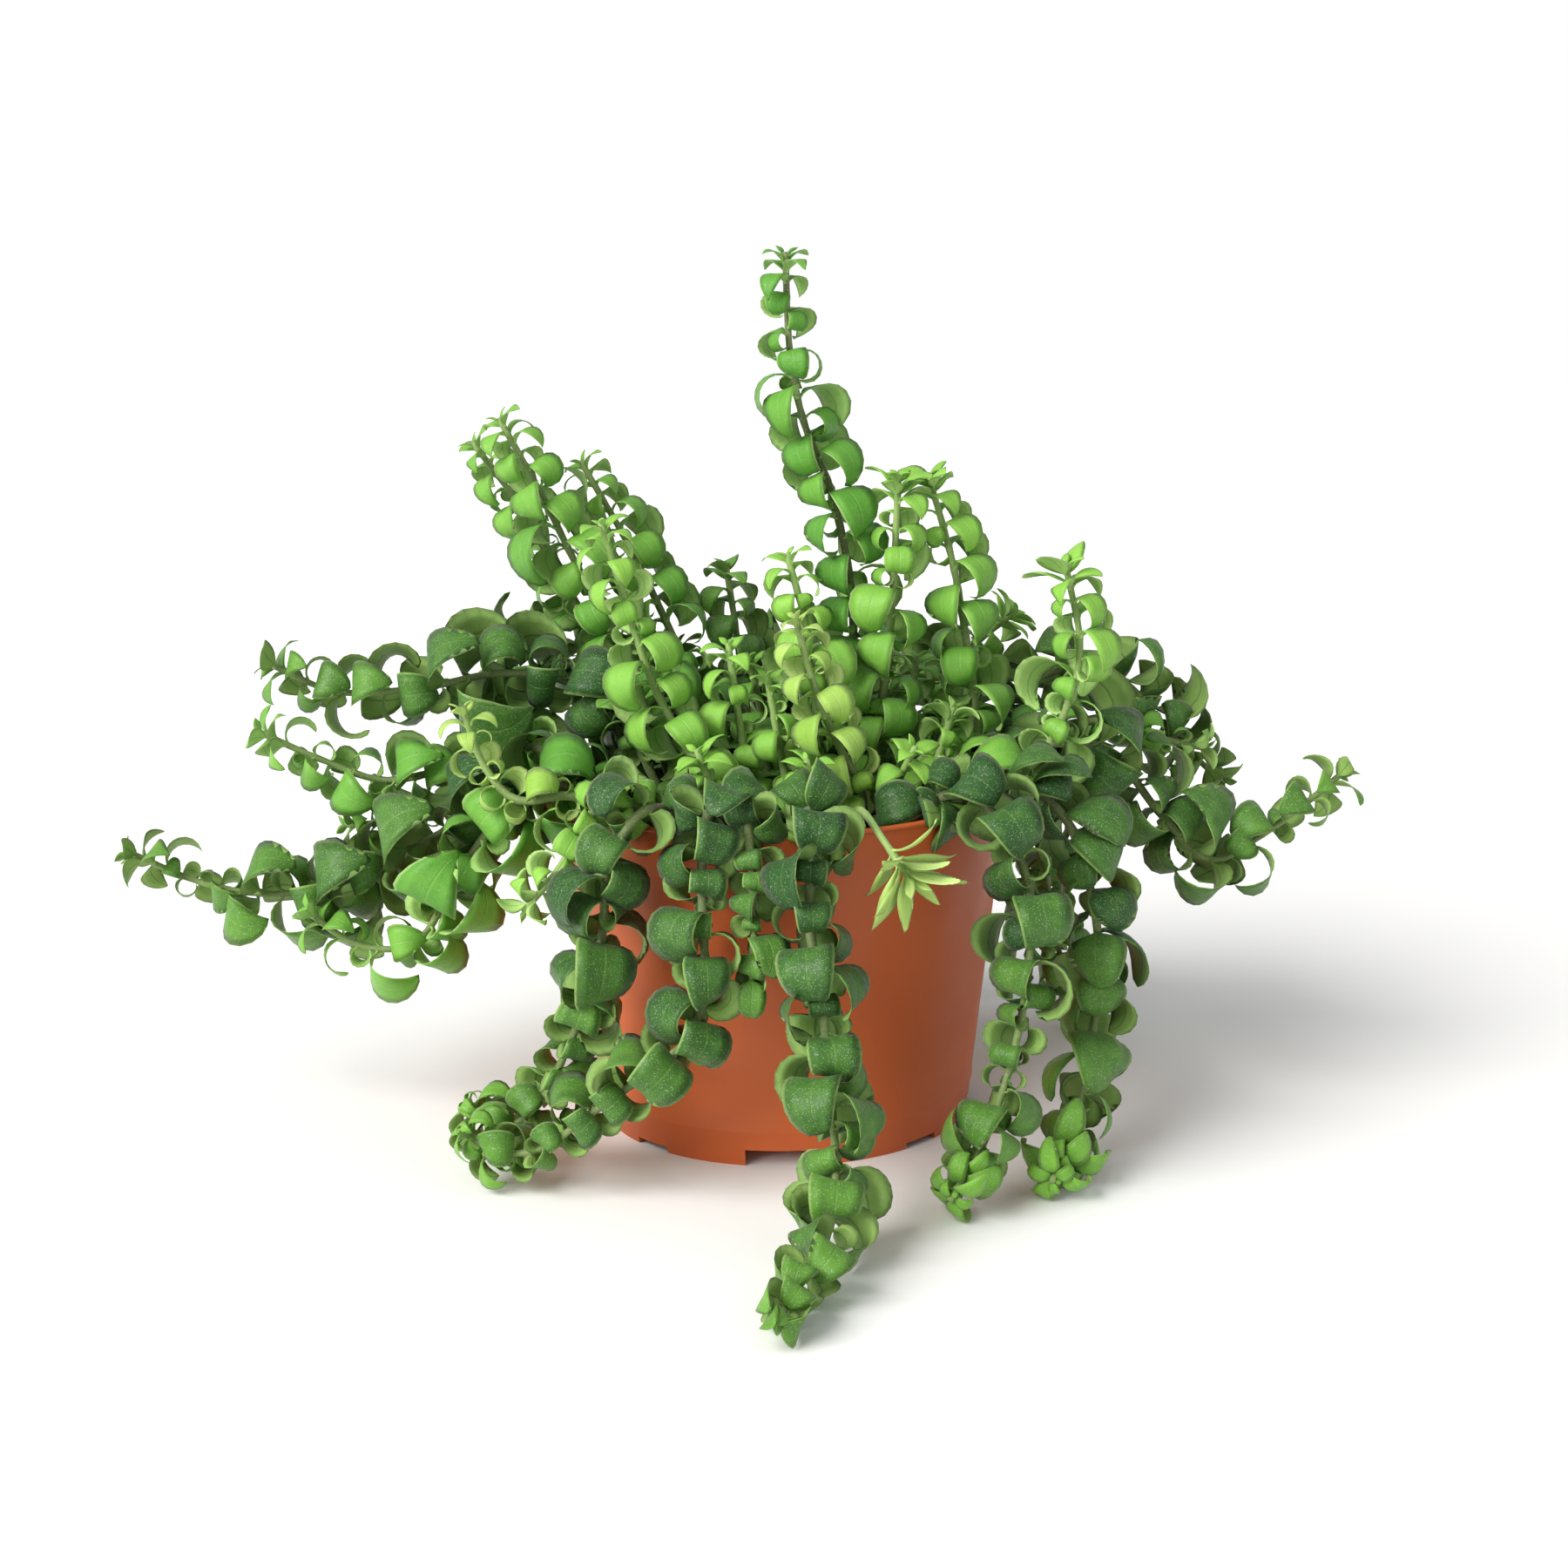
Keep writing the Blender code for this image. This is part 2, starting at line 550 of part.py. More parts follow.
def main():
    for old in list(bpy.data.objects):
        bpy.data.objects.remove(old)
    parts = bpy.data.collections.new("potted_lipstick_plant")
    cutters = bpy.data.collections.new("cutters")
    bpy.context.scene.collection.children.link(parts)
    bpy.context.scene.collection.children.link(cutters)
    plant = bpy.data.objects.new("plant", None)
    parts.objects.link(plant)

    paints = {
        "leaf_mature": material("leaf_mature", (0.035, 0.105, 0.035), 0.45),
        "leaf_young": material("leaf_young", (0.075, 0.235, 0.030), 0.35),
        "leaf_pale": material("leaf_pale", (0.280, 0.500, 0.110), 0.45),
    }
    make_pot(parts, cutters, plant, material("terracotta_plastic", (0.55, 0.135, 0.050), 0.40))
    make_soil(parts, cutters, plant, material("soil", (0.030, 0.020, 0.013), 0.95))
    bpy.context.view_layer.update()
    standing = standing_trees([parts.objects["nursery_pot"], parts.objects["soil"]])
    make_shoots(parts, plant, paints, standing)
    plant.location = (*POT_AXIS, 0)


main()
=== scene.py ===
"""Potted lipstick plant, as it looks: curled glossy leaves, hairy stems, loose soil, moulded pot.

Metres. Each shoot is one piece that stands for the solid of the same name and keeps to its route.
"""
import math
import random
from itertools import product

import bmesh
import bpy
from mathutils import Matrix, Vector, geometry, noise
from mathutils.bvhtree import BVHTree


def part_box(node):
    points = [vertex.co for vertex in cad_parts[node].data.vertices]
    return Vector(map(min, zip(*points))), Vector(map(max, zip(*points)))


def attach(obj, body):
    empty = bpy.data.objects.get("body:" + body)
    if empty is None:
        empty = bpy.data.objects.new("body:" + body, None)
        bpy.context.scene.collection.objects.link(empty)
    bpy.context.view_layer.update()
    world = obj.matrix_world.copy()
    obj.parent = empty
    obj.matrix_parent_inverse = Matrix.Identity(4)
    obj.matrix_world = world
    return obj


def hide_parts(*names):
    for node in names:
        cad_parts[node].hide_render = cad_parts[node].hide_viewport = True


MM = 0.001

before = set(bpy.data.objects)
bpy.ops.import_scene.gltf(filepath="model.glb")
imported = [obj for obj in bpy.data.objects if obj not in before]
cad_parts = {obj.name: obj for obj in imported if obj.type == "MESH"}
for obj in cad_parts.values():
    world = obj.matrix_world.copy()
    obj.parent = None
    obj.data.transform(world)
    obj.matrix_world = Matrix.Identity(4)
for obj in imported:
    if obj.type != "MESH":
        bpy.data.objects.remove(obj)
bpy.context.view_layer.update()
POT_LOW, POT_HIGH = (Vector(corner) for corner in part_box("nursery_pot"))
POT_AXIS = Vector(((POT_LOW.x + POT_HIGH.x) / 2, (POT_LOW.y + POT_HIGH.y) / 2, 0))
POT_HEIGHT = POT_HIGH.z
RIM_RADIUS = (POT_HIGH.x - POT_LOW.x) / 2

# ---- Camera: level with the top of the plant, looking down on it a little ----
CAMERA_FROM_AXIS = 0.8
CAMERA_HEIGHT = 0.2897
CAMERA_PITCH = -0.2203    # radians, below the horizon
CAMERA_YAW = -0.0012
CAMERA_ROLL = -0.0157
LENS = 56.78

# ---- The pot's own sizes, as in the solid model ----
BASE_RADIUS = 0.0615
POT_WALL = 0.0014
LIP_HEIGHT = 0.0016
LIP_OUT = 0.0009
FLOOR_LIFT = 0.0065       # underside of the pot's floor above the ground
FLOOR_THICKNESS = 0.0016
FLOOR_TOP = FLOOR_LIFT + FLOOR_THICKNESS
FLOOR_FILLET = 0.003      # between the floor and the wall
MOUTH_ROUNDING = 0.0006   # of the wall's inner edge at the rim
FOOT_BEVEL = 0.0003
FOOT_BEVEL_HEIGHT = 0.0005
FOOT_CUTS = 4             # wide ones, with a narrow one between each two
WIDE_CUT = 0.0265
WIDE_CUT_HEIGHT = 0.0055
NARROW_CUT = 0.0135
NARROW_CUT_HEIGHT = 0.0022
FOOT_CUT_REACH = 0.0168
DRAIN_HOLES = 8
DRAIN_RADIUS = 0.0042
DRAIN_CIRCLE = 0.043
SEAM_HEIGHT = 0.0118      # a fine raised line where the halves of the mould met
SEAM_OUT = 0.00035
SEAM_SHAPE = ((0.0009, 0), (0.0004, 0.8), (0, 1), (-0.0004, 0.8), (-0.0009, 0))
UNDER_LIP = 0.0002        # where the wall begins, below the lip's foot
WALL_STEPS = 9
TURN_STEPS = 160

SOIL_BELOW_RIM = 0.010
SOIL_CROWN = 0.003        # how far the middle of the soil stands above its edge
SOIL_EDGE = POT_HEIGHT - SOIL_BELOW_RIM
ROOTING_DEPTH = 0.009

# ---- Kinds of shoot: lengths in metres, angles in degrees ----
# leaf: a full-grown leaf's length, along its curl. width: its width, as a share of that.
# spacing: between pairs of leaves. bare: the foot without leaves. tuft: the crowded tip, if it has
# one, whose leaves grow as end says.
# start: a leaf's first heading, from straight out towards the stem's tip. bend: how far it then
# curls, towards the stem's foot, or towards its tip where negative. crest: the two shares of its
# length between which it curls. fold: how far its sides droop, or flare outwards where negative.
# roundness: of its outline. Below 1 it stays broad, and above 1 it narrows sooner to both ends.
# age: at the shoot's foot and at its tip, where 1 is old and dark.
# newest: a leaf's size at the very tip, of its full size. ripening: the distance from the tip over
# which that grows by one full size.
TUFT = {"leaf": 0.0380, "width": 0.38, "spacing": 0.0036, "start": 50, "bend": 250,
        "crest": (0.0, 1.0), "fold": 12, "roundness": 0.7}
ROSETTE = {"leaf": 0.0290, "width": 0.52, "spacing": 0.0045, "start": 30, "bend": 110,
           "crest": (0.1, 1.0), "fold": 30, "roundness": 0.9}

MATURE_TRAIL = {"paint": "leaf_mature", "leaf": 0.0295, "width": 0.62, "spacing": 0.0065,
                "bare": 0.009, "tuft": 0.018, "end": TUFT, "start": -42, "bend": -235,
                "crest": (0.0, 1.0), "fold": -14, "roundness": 0.52, "age": (1.0, 0.40),
                "newest": 0.42, "ripening": 0.110}
PLAIN_TRAIL = {**MATURE_TRAIL, "tuft": 0.0}
LAYERED_TRAIL = {**MATURE_TRAIL, "leaf": 0.0300, "width": 0.78, "start": 0, "bend": -115,
                 "crest": (0.1, 0.9), "fold": 14, "roundness": 0.6}
MATURE_UPRIGHT = {"paint": "leaf_mature", "leaf": 0.0310, "width": 0.52, "spacing": 0.0070,
                  "bare": 0.008, "tuft": 0.0, "end": TUFT, "start": 48, "bend": 245,
                  "crest": (0.0, 1.0), "fold": -5, "roundness": 0.85, "age": (0.95, 0.35),
                  "newest": 0.34, "ripening": 0.054}
LAYERED_ARCH = {**MATURE_UPRIGHT, "width": 0.58, "spacing": 0.0066, "start": 60, "bend": 185,
                "crest": (0.1, 1.0), "fold": 26, "age": (1.0, 0.55)}
MATURE_ARCH = {**MATURE_UPRIGHT, "leaf": 0.0370, "width": 0.58, "bend": 225, "age": (1.0, 0.40),
               "ripening": 0.100}
YOUNG = {**MATURE_UPRIGHT, "paint": "leaf_young", "leaf": 0.0300, "width": 0.48, "start": 52,
         "bend": 265, "fold": -6, "roundness": 1.05, "age": (0.95, 0.45)}
TALL = {**YOUNG, "leaf": 0.0290, "spacing": 0.0068, "bend": 262, "age": (1.0, 0.80)}
YOUNG_CROSS = {**YOUNG, "age": (0.70, 0.20), "tuft": 0.007, "end": ROSETTE, "newest": 0.38}
FRESH = {**YOUNG, "width": 0.46, "age": (0.40, 0.0)}
FRESH_CROSS = {**YOUNG_CROSS, "age": (0.60, 0.10)}
YOUNG_ARCH = {**YOUNG, "leaf": 0.0345, "width": 0.56, "start": 45, "bend": 235,
              "age": (0.98, 0.40), "ripening": 0.080}
PALE_UPRIGHT = {**YOUNG, "paint": "leaf_pale", "leaf": 0.0270, "bare": 0.022, "age": (0.80, 0.20)}
PALE = {**YOUNG, "paint": "leaf_pale", "leaf": 0.0240, "width": 0.34, "spacing": 0.0036,
        "bare": 0.058, "start": 20, "bend": 75, "fold": 25, "age": (0.35, 0.0), "newest": 0.75}

# ---- Routes: root in the soil (x, y), then points (x, y, z), in millimetres from the axis ----
SHOOTS = {
    # upright
    "upright_centre_tall": (TALL, (18, 4), [
        (22, 1, 125), (24, 0, 150), (24, 0, 174), (18, 0, 206), (9, 0, 230), (5, 0, 252), (4, 0, 283)]),
    "upright_right_a": (YOUNG_CROSS, (30, -12), [(32, -10, 130), (36, -10, 163), (39, -10, 213)]),
    "upright_right_b": (YOUNG_CROSS, (53, 3), [
        (60, 2, 118), (64, 1, 136), (62, 0, 153), (57, 0, 183), (49, 0, 212)]),
    "upright_right_c": (FRESH_CROSS, (52, -26), [
        (62, -28, 114), (79, -30, 121), (89, -30, 136), (95, -30, 158), (90, -30, 187)]),
    "upright_front_a": (PALE_UPRIGHT, (26, -36), [
        (25, -40, 118), (19, -40, 130), (12, -40, 147), (5, -40, 173)]),
    "upright_front_b": (FRESH, (14, -14), [(12, -9, 135), (9, -12, 164), (3, -12, 189)]),
    "upright_front_c": (FRESH, (-8, -24), [(-12, -28, 130), (-16, -30, 163)]),
    "upright_front_d": (FRESH, (4, -32), [(0, -32, 128), (-4, -31, 153)]),
    "upright_left_a": (FRESH, (-20, -24), [
        (-29, -30, 128), (-39, -30, 148), (-47, -30, 173), (-55, -30, 202)]),
    "upright_left_b": (YOUNG, (-30, 12), [
        (-49, 20, 148), (-66, 20, 180), (-78, 20, 206), (-91, 20, 231)]),
    "upright_left_c": (YOUNG, (-36, 26), [
        (-57, 34, 146), (-75, 36, 178), (-88, 36, 202), (-102, 36, 222)]),
    "upright_left_d": (YOUNG, (-16, 24), [(-34, 34, 150), (-50, 38, 185), (-66, 38, 215)]),
    "upright_left_e": (MATURE_UPRIGHT, (-36, -16), [(-45, -20, 126), (-52, -22, 146)]),
    "upright_back_a": (MATURE_UPRIGHT, (-8, 40), [(-12, 46, 130), (-15, 50, 156), (-18, 50, 178)]),
    "upright_back_b": (YOUNG_CROSS, (44, 34), [(52, 40, 128), (64, 42, 146), (82, 42, 161)]),
    "upright_back_c": (MATURE_UPRIGHT, (-24, 42), [(-30, 46, 130), (-36, 52, 150)]),
    "upright_back_d": (MATURE_UPRIGHT, (16, 28), [(18, 34, 130), (22, 40, 152)]),
    "upright_middle_a": (YOUNG, (42, 12), [(44, 16, 128), (46, 18, 150)]),
    "upright_middle_b": (YOUNG, (-4, 6), [(-6, 8, 130), (-10, 10, 152)]),
    "upright_middle_c": (FRESH, (42, -22), [(50, -22, 122), (56, -18, 140)]),
    # short ones that fill the crown
    "crown_front_a": (FRESH, (-18, -42), [(-21, -46, 118), (-26, -50, 133)]),
    "crown_front_b": (FRESH, (33, -37), [(36, -41, 118), (42, -46, 132)]),
    "crown_front_c": (FRESH, (10, -46), [(10, -50, 118), (8, -54, 130)]),
    "crown_left_a": (MATURE_ARCH, (-34, -2), [(-40, -4, 124), (-46, -6, 143)]),
    "crown_left_b": (MATURE_ARCH, (-43, 19), [(-50, 21, 122), (-60, 23, 139)]),
    "crown_right_a": (FRESH, (45, -7), [(50, -8, 120), (58, -10, 137)]),
    "crown_right_b": (YOUNG, (33, 26), [(37, 29, 124), (41, 31, 145)]),
    # arching out over the rim
    "arch_left_a": (MATURE_ARCH, (-46, 6), [
        (-54, 6, 128), (-67, 4, 144), (-90, 2, 149), (-117, 0, 145), (-145, 0, 144), (-168, 0, 154)]),
    "arch_left_b": (YOUNG_ARCH, (-56, -8), [
        (-66, -8, 118), (-84, -6, 126), (-108, -3, 119), (-131, 0, 114), (-151, 0, 121),
        (-172, 0, 131)]),
    "arch_left_c": (MATURE_ARCH, (-56, -22), [
        (-62, -24, 112), (-78, -23, 119), (-105, -16, 103), (-137, -10, 85), (-166, -5, 77),
        (-192, -2, 80), (-218, 0, 91)]),
    "arch_left_d": (YOUNG_ARCH, (-62, 8), [
        (-66, 9, 113), (-80, 12, 119), (-104, 10, 108), (-128, 6, 99), (-146, 4, 98)]),
    "arch_left_e": (YOUNG_ARCH, (-50, -36), [
        (-56, -38, 112), (-74, -40, 118), (-92, -37, 106), (-106, -34, 86), (-119, -31, 67),
        (-137, -30, 66), (-154, -30, 78)]),
    "arch_left_f": (PALE_UPRIGHT, (-43, -45), [
        (-46, -48, 113), (-66, -54, 120), (-82, -54, 119), (-92, -52, 130), (-98, -50, 148)]),
    "arch_left_g": (FRESH, (-35, -52), [
        (-37, -55, 113), (-54, -66, 120), (-68, -70, 101), (-80, -64, 86)]),
    "arch_right_a": (MATURE_ARCH, (60, -10), [
        (67, -12, 114), (84, -12, 125), (108, -10, 120), (125, -10, 100), (141, -10, 85), (156, -8, 91),
        (172, -4, 101), (187, 0, 112)]),
    "arch_right_b": (LAYERED_ARCH, (56, 20), [
        (62, 22, 116), (82, 26, 135), (100, 30, 144), (117, 32, 138), (136, 32, 117), (153, 32, 101)]),
    "arch_right_c": (YOUNG, (60, 9), [
        (67, 10, 114), (88, 12, 125), (112, 14, 127), (130, 17, 120), (145, 20, 116)]),
    "arch_back_left": (LAYERED_ARCH, (-44, 38), [
        (-52, 42, 126), (-64, 46, 146), (-79, 46, 153), (-92, 46, 147), (-102, 48, 133)]),
    "arch_back_a": (MATURE_UPRIGHT, (30, 44), [
        (34, 52, 124), (44, 64, 136), (56, 78, 131), (66, 90, 113), (74, 98, 96)]),
    "arch_back_b": (MATURE_UPRIGHT, (4, 52), [
        (5, 58, 124), (4, 72, 138), (2, 88, 134), (0, 102, 118), (-2, 112, 100)]),
    # trailing down the pot
    "trail_left_a": (MATURE_TRAIL, (-24, -54), [
        (-27, -59, 112), (-41, -71, 119), (-52, -77, 104), (-55, -78, 82), (-61, -76, 60),
        (-70, -70, 38), (-79, -62, 21), (-90, -54, 13), (-103, -50, 20)]),
    "trail_left_b": (MATURE_TRAIL, (-14, -57), [
        (-17, -63, 112), (-22, -77, 119), (-24, -86, 105), (-24, -90, 89), (-24, -93, 68),
        (-31, -94, 52), (-46, -91, 39), (-61, -87, 27), (-76, -82, 15), (-90, -77, 13),
        (-101, -74, 21)]),
    "trail_front_a": (PLAIN_TRAIL, (-5, -59), [
        (-7, -65, 112), (-10, -78, 119), (-9, -88, 102), (-9, -92, 82), (-10, -94, 66)]),
    "trail_front_b": (PLAIN_TRAIL, (6, -58), [
        (7, -65, 112), (8, -78, 119), (8, -92, 105), (8, -100, 88), (11, -107, 66), (13, -117, 43),
        (14, -131, 23), (10, -152, 12), (2, -173, 8), (-3, -193, 9)]),
    "trail_front_c": (PALE, (19, -55), [
        (21, -62, 112), (24, -76, 119), (30, -89, 113), (38, -97, 102)]),
    "trail_right_a": (MATURE_TRAIL, (41, -47), [
        (44, -49, 113), (57, -61, 120), (69, -71, 109), (75, -78, 90), (73, -84, 64), (67, -91, 40),
        (58, -100, 19), (48, -113, 9)]),
    "trail_right_b": (LAYERED_TRAIL, (52, -37), [
        (56, -39, 113), (72, -47, 121), (88, -52, 110), (95, -54, 92), (99, -55, 65), (96, -60, 37),
        (89, -75, 15), (80, -97, 8)]),
    "trail_back_a": (MATURE_TRAIL, (28, 55), [
        (30, 59, 112), (37, 73, 120), (43, 87, 103), (44, 92, 74), (45, 97, 44), (50, 108, 20),
        (57, 124, 9)]),
    "trail_back_b": (MATURE_TRAIL, (-16, 58), [
        (-18, 64, 112), (-21, 78, 119), (-24, 91, 101), (-26, 95, 70), (-28, 99, 42), (-32, 104, 24)]),
    "trail_back_c": (MATURE_TRAIL, (-36, 54), [
        (-38, 57, 112), (-46, 69, 120), (-52, 81, 104), (-54, 85, 76), (-55, 89, 46), (-59, 97, 21),
        (-66, 110, 9)]),
    "trail_back_d": (MATURE_TRAIL, (52, 30), [
        (56, 33, 113), (73, 41, 120), (88, 51, 104), (93, 56, 76), (97, 60, 46), (104, 68, 21),
        (114, 80, 9)]),
}


# ---- Places ----
CURVE_STEPS = 10          # pieces of a route's curve between two of its points
SIDE_REACH = 0.05         # a trail this near the pot's side turns its leaves away from it
GROUND_REACH = 0.03       # and one this near the ground turns them up
LEAST_OUTWARD = 0.35      # shares of the two ways where nothing is near
LEAST_UPWARD = 0.3
GROUND_PUSH = 2.0


def wall_radius(height):
    """The pot's outer radius at a height, without its lip."""
    top = RIM_RADIUS - LIP_OUT
    return BASE_RADIUS + (top - BASE_RADIUS) * height / POT_HEIGHT


def inner_radius(height):
    return wall_radius(height) - POT_WALL


def route_points(root, points):
    """A shoot's own points: straight up out of the soil, then along its route."""
    foot = Vector((root[0], root[1], 0)) * MM + POT_AXIS
    start = [foot + Vector((0, 0, SOIL_EDGE + height))
             for height in (-ROOTING_DEPTH, -SOIL_CROWN, SOIL_CROWN)]
    return start + [Vector(point) * MM + POT_AXIS for point in points]


def smooth_line(points):
    """A curve through the points, as a fine polyline."""
    line = []
    for i in range(len(points) - 1):
        before = points[max(i - 1, 0)]
        here = points[i]
        there = points[i + 1]
        after = points[min(i + 2, len(points) - 1)]
        span = (there - here).length
        out = (there - before).normalized() * span / 3
        back = (after - here).normalized() * span / 3
        piece = geometry.interpolate_bezier(here, here + out, there - back, there, CURVE_STEPS + 1)
        line += piece[:-1]
    return line + [points[-1].copy()]


def length_of(line):
    return sum((b - a).length for a, b in zip(line, line[1:]))


def frames_along(line, distances):
    """A frame at each distance: x and y across the line, z along it, turned as little as it can."""
    frames = []
    side = Vector((1, 0, 0))
    i = 0
    start = 0.0
    for distance in distances:
        step = (line[i + 1] - line[i]).length
        while distance > start + step and i < len(line) - 2:
            start += step
            i += 1
            step = (line[i + 1] - line[i]).length
        point = line[i].lerp(line[i + 1], (distance - start) / step)
        heading = (line[min(i + 2, len(line) - 1)] - line[max(i - 1, 0)]).normalized()
        side = (side - heading * side.dot(heading)).normalized()
        turn = Matrix((side, heading.cross(side), heading)).transposed().to_4x4()
        frames.append(Matrix.Translation(point) @ turn)
    return frames


def away_from_things(point):
    """The way that faces away from the pot's side, or up where a shoot lies on the ground."""
    out = point - POT_AXIS
    height = out.z
    out.z = 0.0
    gap = out.length - wall_radius(min(height, POT_HEIGHT))
    beside_pot = max(0.0, 1 - gap / SIDE_REACH) if height < POT_HEIGHT else 0.0
    on_ground = max(0.0, 1 - height / GROUND_REACH)
    upward = LEAST_UPWARD + GROUND_PUSH * on_ground
    return out.normalized() * (LEAST_OUTWARD + beside_pot) + Vector((0, 0, upward))


# ---- Leaves ----
# A leaf is a closed strip. Its section goes from the right edge over the top to the left one, and
# its stations are shares of its length.
SECTION = ((1, 0), (0.5, 1), (0, 0.8), (-0.5, 1), (-1, 0), (-0.5, -1), (0, -1.2), (0.5, -1))
STATIONS = (0.0, 0.05, 0.11, 0.19, 0.28, 0.37, 0.46, 0.56, 0.66, 0.76, 0.86, 0.94, 1.0)
PETIOLE = 0.05            # share of a leaf's length
PETIOLE_WIDTH = 0.14      # shares of its width
TIP_WIDTH = 0.08
BROAD_FOOT = 0.78         # below 1, a leaf is broadest nearer its petiole than its tip
LEAF_THICKNESS = 0.0006
TIP_THICKNESS = 0.35      # shares of its thickness
PETIOLE_THICKNESS = 1.3
RUFFLE = 0.030            # how far its rims wave, as a share of its length
RUFFLE_WAVE = 7.5         # radians of that wave along its length

INSIDE_GAP = 0.0008       # how near a leaf comes to the pot's wall from inside it,
OUTSIDE_GAP = 0.0006      # from outside it, and to the ground,
SOIL_GAP = 0.0005         # and to the soil
OVER_RIM_INSIDE = 0.0005  # higher than this above the rim, a leaf is clear of the wall
OVER_RIM_OUTSIDE = 0.0008
LIP_REACH = 0.004         # from this far below the rim, it minds the lip
MOUTH_RISE = 0.004        # up to this far above the rim, a stem within it is still inside


def leaf_blank():
    """A flat leaf: x across from -1 to 1, y its station's number, z -1 to 1 through it."""
    bm = bmesh.new()
    flow = bm.loops.layers.uv.new("UVMap")
    bmesh.ops.create_circle(bm, cap_ends=True, segments=len(SECTION), radius=1)
    bm.verts.ensure_lookup_table()
    for vert, (across, through) in zip(bm.verts, SECTION):
        vert.co = (across, 0, through)
    bm.faces.ensure_lookup_table()
    end = bm.faces[0]
    for _ in STATIONS[1:]:
        end = bmesh.ops.extrude_discrete_faces(bm, faces=[end])["faces"][0]
        bmesh.ops.translate(bm, vec=(0, 1, 0), verts=end.verts)
    bmesh.ops.pointmerge(bm, verts=list(end.verts), merge_co=(0, len(STATIONS) - 1, 0))
    bmesh.ops.recalc_face_normals(bm, faces=bm.faces)
    for face in bm.faces:
        face.smooth = True
        below = face.normal.z < 0
        for loop in face.loops:
            across, along, _ = loop.vert.co
            loop[flow].uv = (0.5 + across / 2, STATIONS[round(along)] + (1.0 if below else 0.0))
    return mesh_from(bm, "leaf_blank")


def leaf_width(share, roundness):
    """A leaf's outline, of its full width: a short petiole, a broad middle and a pointed tip."""
    if share < PETIOLE:
        return PETIOLE_WIDTH
    blade = (share - PETIOLE) / (1 - PETIOLE)
    return max(TIP_WIDTH, math.sin(math.pi * blade ** BROAD_FOOT) ** roundness)


def leaf_thickness(share):
    thick = LEAF_THICKNESS * (TIP_THICKNESS + (1 - TIP_THICKNESS) * (1 - share))
    return thick * (1.0 if share > PETIOLE else PETIOLE_THICKNESS)


def leaf_stations(root, out, up, form):
    """A leaf's sections along its curl: centre, across, normal, half width, thickness, ruffle.

    out and up: straight out of the stem, and towards the stem's tip.
    """
    length = form["length"]
    half = form["width"] * length / 2
    sign = 1 if form["bend"] > 0 else -1
    side = out.cross(up) * sign
    first, last = form["crest"]
    stations = []
    centre = root.copy()
    for i, share in enumerate(STATIONS):
        along = max(0.0, min(1.0, (share - first) / (last - first)))
        curl = form["bend"] * along
        angle = math.radians(form["start"] - curl)
        heading = out * math.cos(angle) + up * math.sin(angle)
        if i:
            step = (share - STATIONS[i - 1]) * length
            centre = centre + (heading + before).normalized() * step
        before = heading
        normal = (up * math.cos(angle) - out * math.sin(angle)) * sign
        roll = Matrix.Rotation(form["twist"] * share, 3, heading)
        wide = half * leaf_width(share, form["roundness"])
        ruffle = RUFFLE * length * math.sin(RUFFLE_WAVE * share + form["phase"]) * share
        stations.append((centre, roll @ side, roll @ normal, wide, leaf_thickness(share), ruffle))
    return stations


def bent(blank_points, stations, fold):
    """The blank's points, carried to a leaf's sections and folded about its midrib."""
    result = []
    for point in blank_points:
        centre, across, normal, wide, thick, ruffle = stations[round(point.y)]
        lean = fold * point.x
        outward = across * math.sin(lean) + normal * math.cos(lean)
        radius = wide / fold
        skin = point.z * thick / 2 + ruffle * point.x * abs(point.x)
        result.append(centre - normal * radius + outward * (radius + skin))
    return result


def is_inside_pot(point):
    """Whether a stem is still within the rim here."""
    offset = point - POT_AXIS
    return offset.z < POT_HEIGHT + MOUTH_RISE and offset.xy.length < inner_radius(POT_HEIGHT)


def way_clear(point, inside_pot):
    """How a point has to move to be out of the pot's wall, the soil and the ground."""
    offset = point - POT_AXIS
    height = offset.z
    offset.z = 0.0
    radius = offset.length
    outward = offset / max(radius, 1e-6)
    move = Vector((0, 0, 0))
    if inside_pot:
        if height < POT_HEIGHT + OVER_RIM_INSIDE:
            move -= outward * max(0.0, radius - inner_radius(height) + INSIDE_GAP)
            move.z += max(0.0, SOIL_EDGE + SOIL_CROWN + SOIL_GAP - height)
    else:
        lip = LIP_OUT if height > POT_HEIGHT - LIP_REACH else 0.0
        if height < POT_HEIGHT + OVER_RIM_OUTSIDE:
            move += outward * max(0.0, wall_radius(height) + lip + OUTSIDE_GAP - radius)
        move.z += max(0.0, OUTSIDE_GAP - height)
    return move


def push_clear(points, blank_points, inside_pot):
    """Move a leaf's sections, whole, out of the pot's wall, the soil and the ground."""
    moves = {}
    for point, blank_point in zip(points, blank_points):
        move = way_clear(point, inside_pot)
        station = round(blank_point.y)
        if station not in moves or move.length > moves[station].length:
            moves[station] = move
    return [point + moves[round(blank_point.y)] for point, blank_point in zip(points, blank_points)]


# ---- Finding room for leaves ----
CELL = 0.02
TRIES = 9
TURN_STEP = 17            # degrees, and what a leaf turns and loses at each new try
SHRINK_STEP = 0.055
CURL_STEP = 0.05
ROOMY = 2                 # a leaf that meets no more faces than this has room
MOST_HITS = 30            # one that meets more is left out. Up to this, it may cut into others
STEM_WEIGHT = 2           # a face of a stem counts as this many
ALWAYS_GROWN = 0.006      # leaves this near the tip are never left out


def limits(points):
    """The lowest and the highest corner of the box round some points."""
    return [[pick(point[i] for point in points) for i in range(3)] for pick in (min, max)]


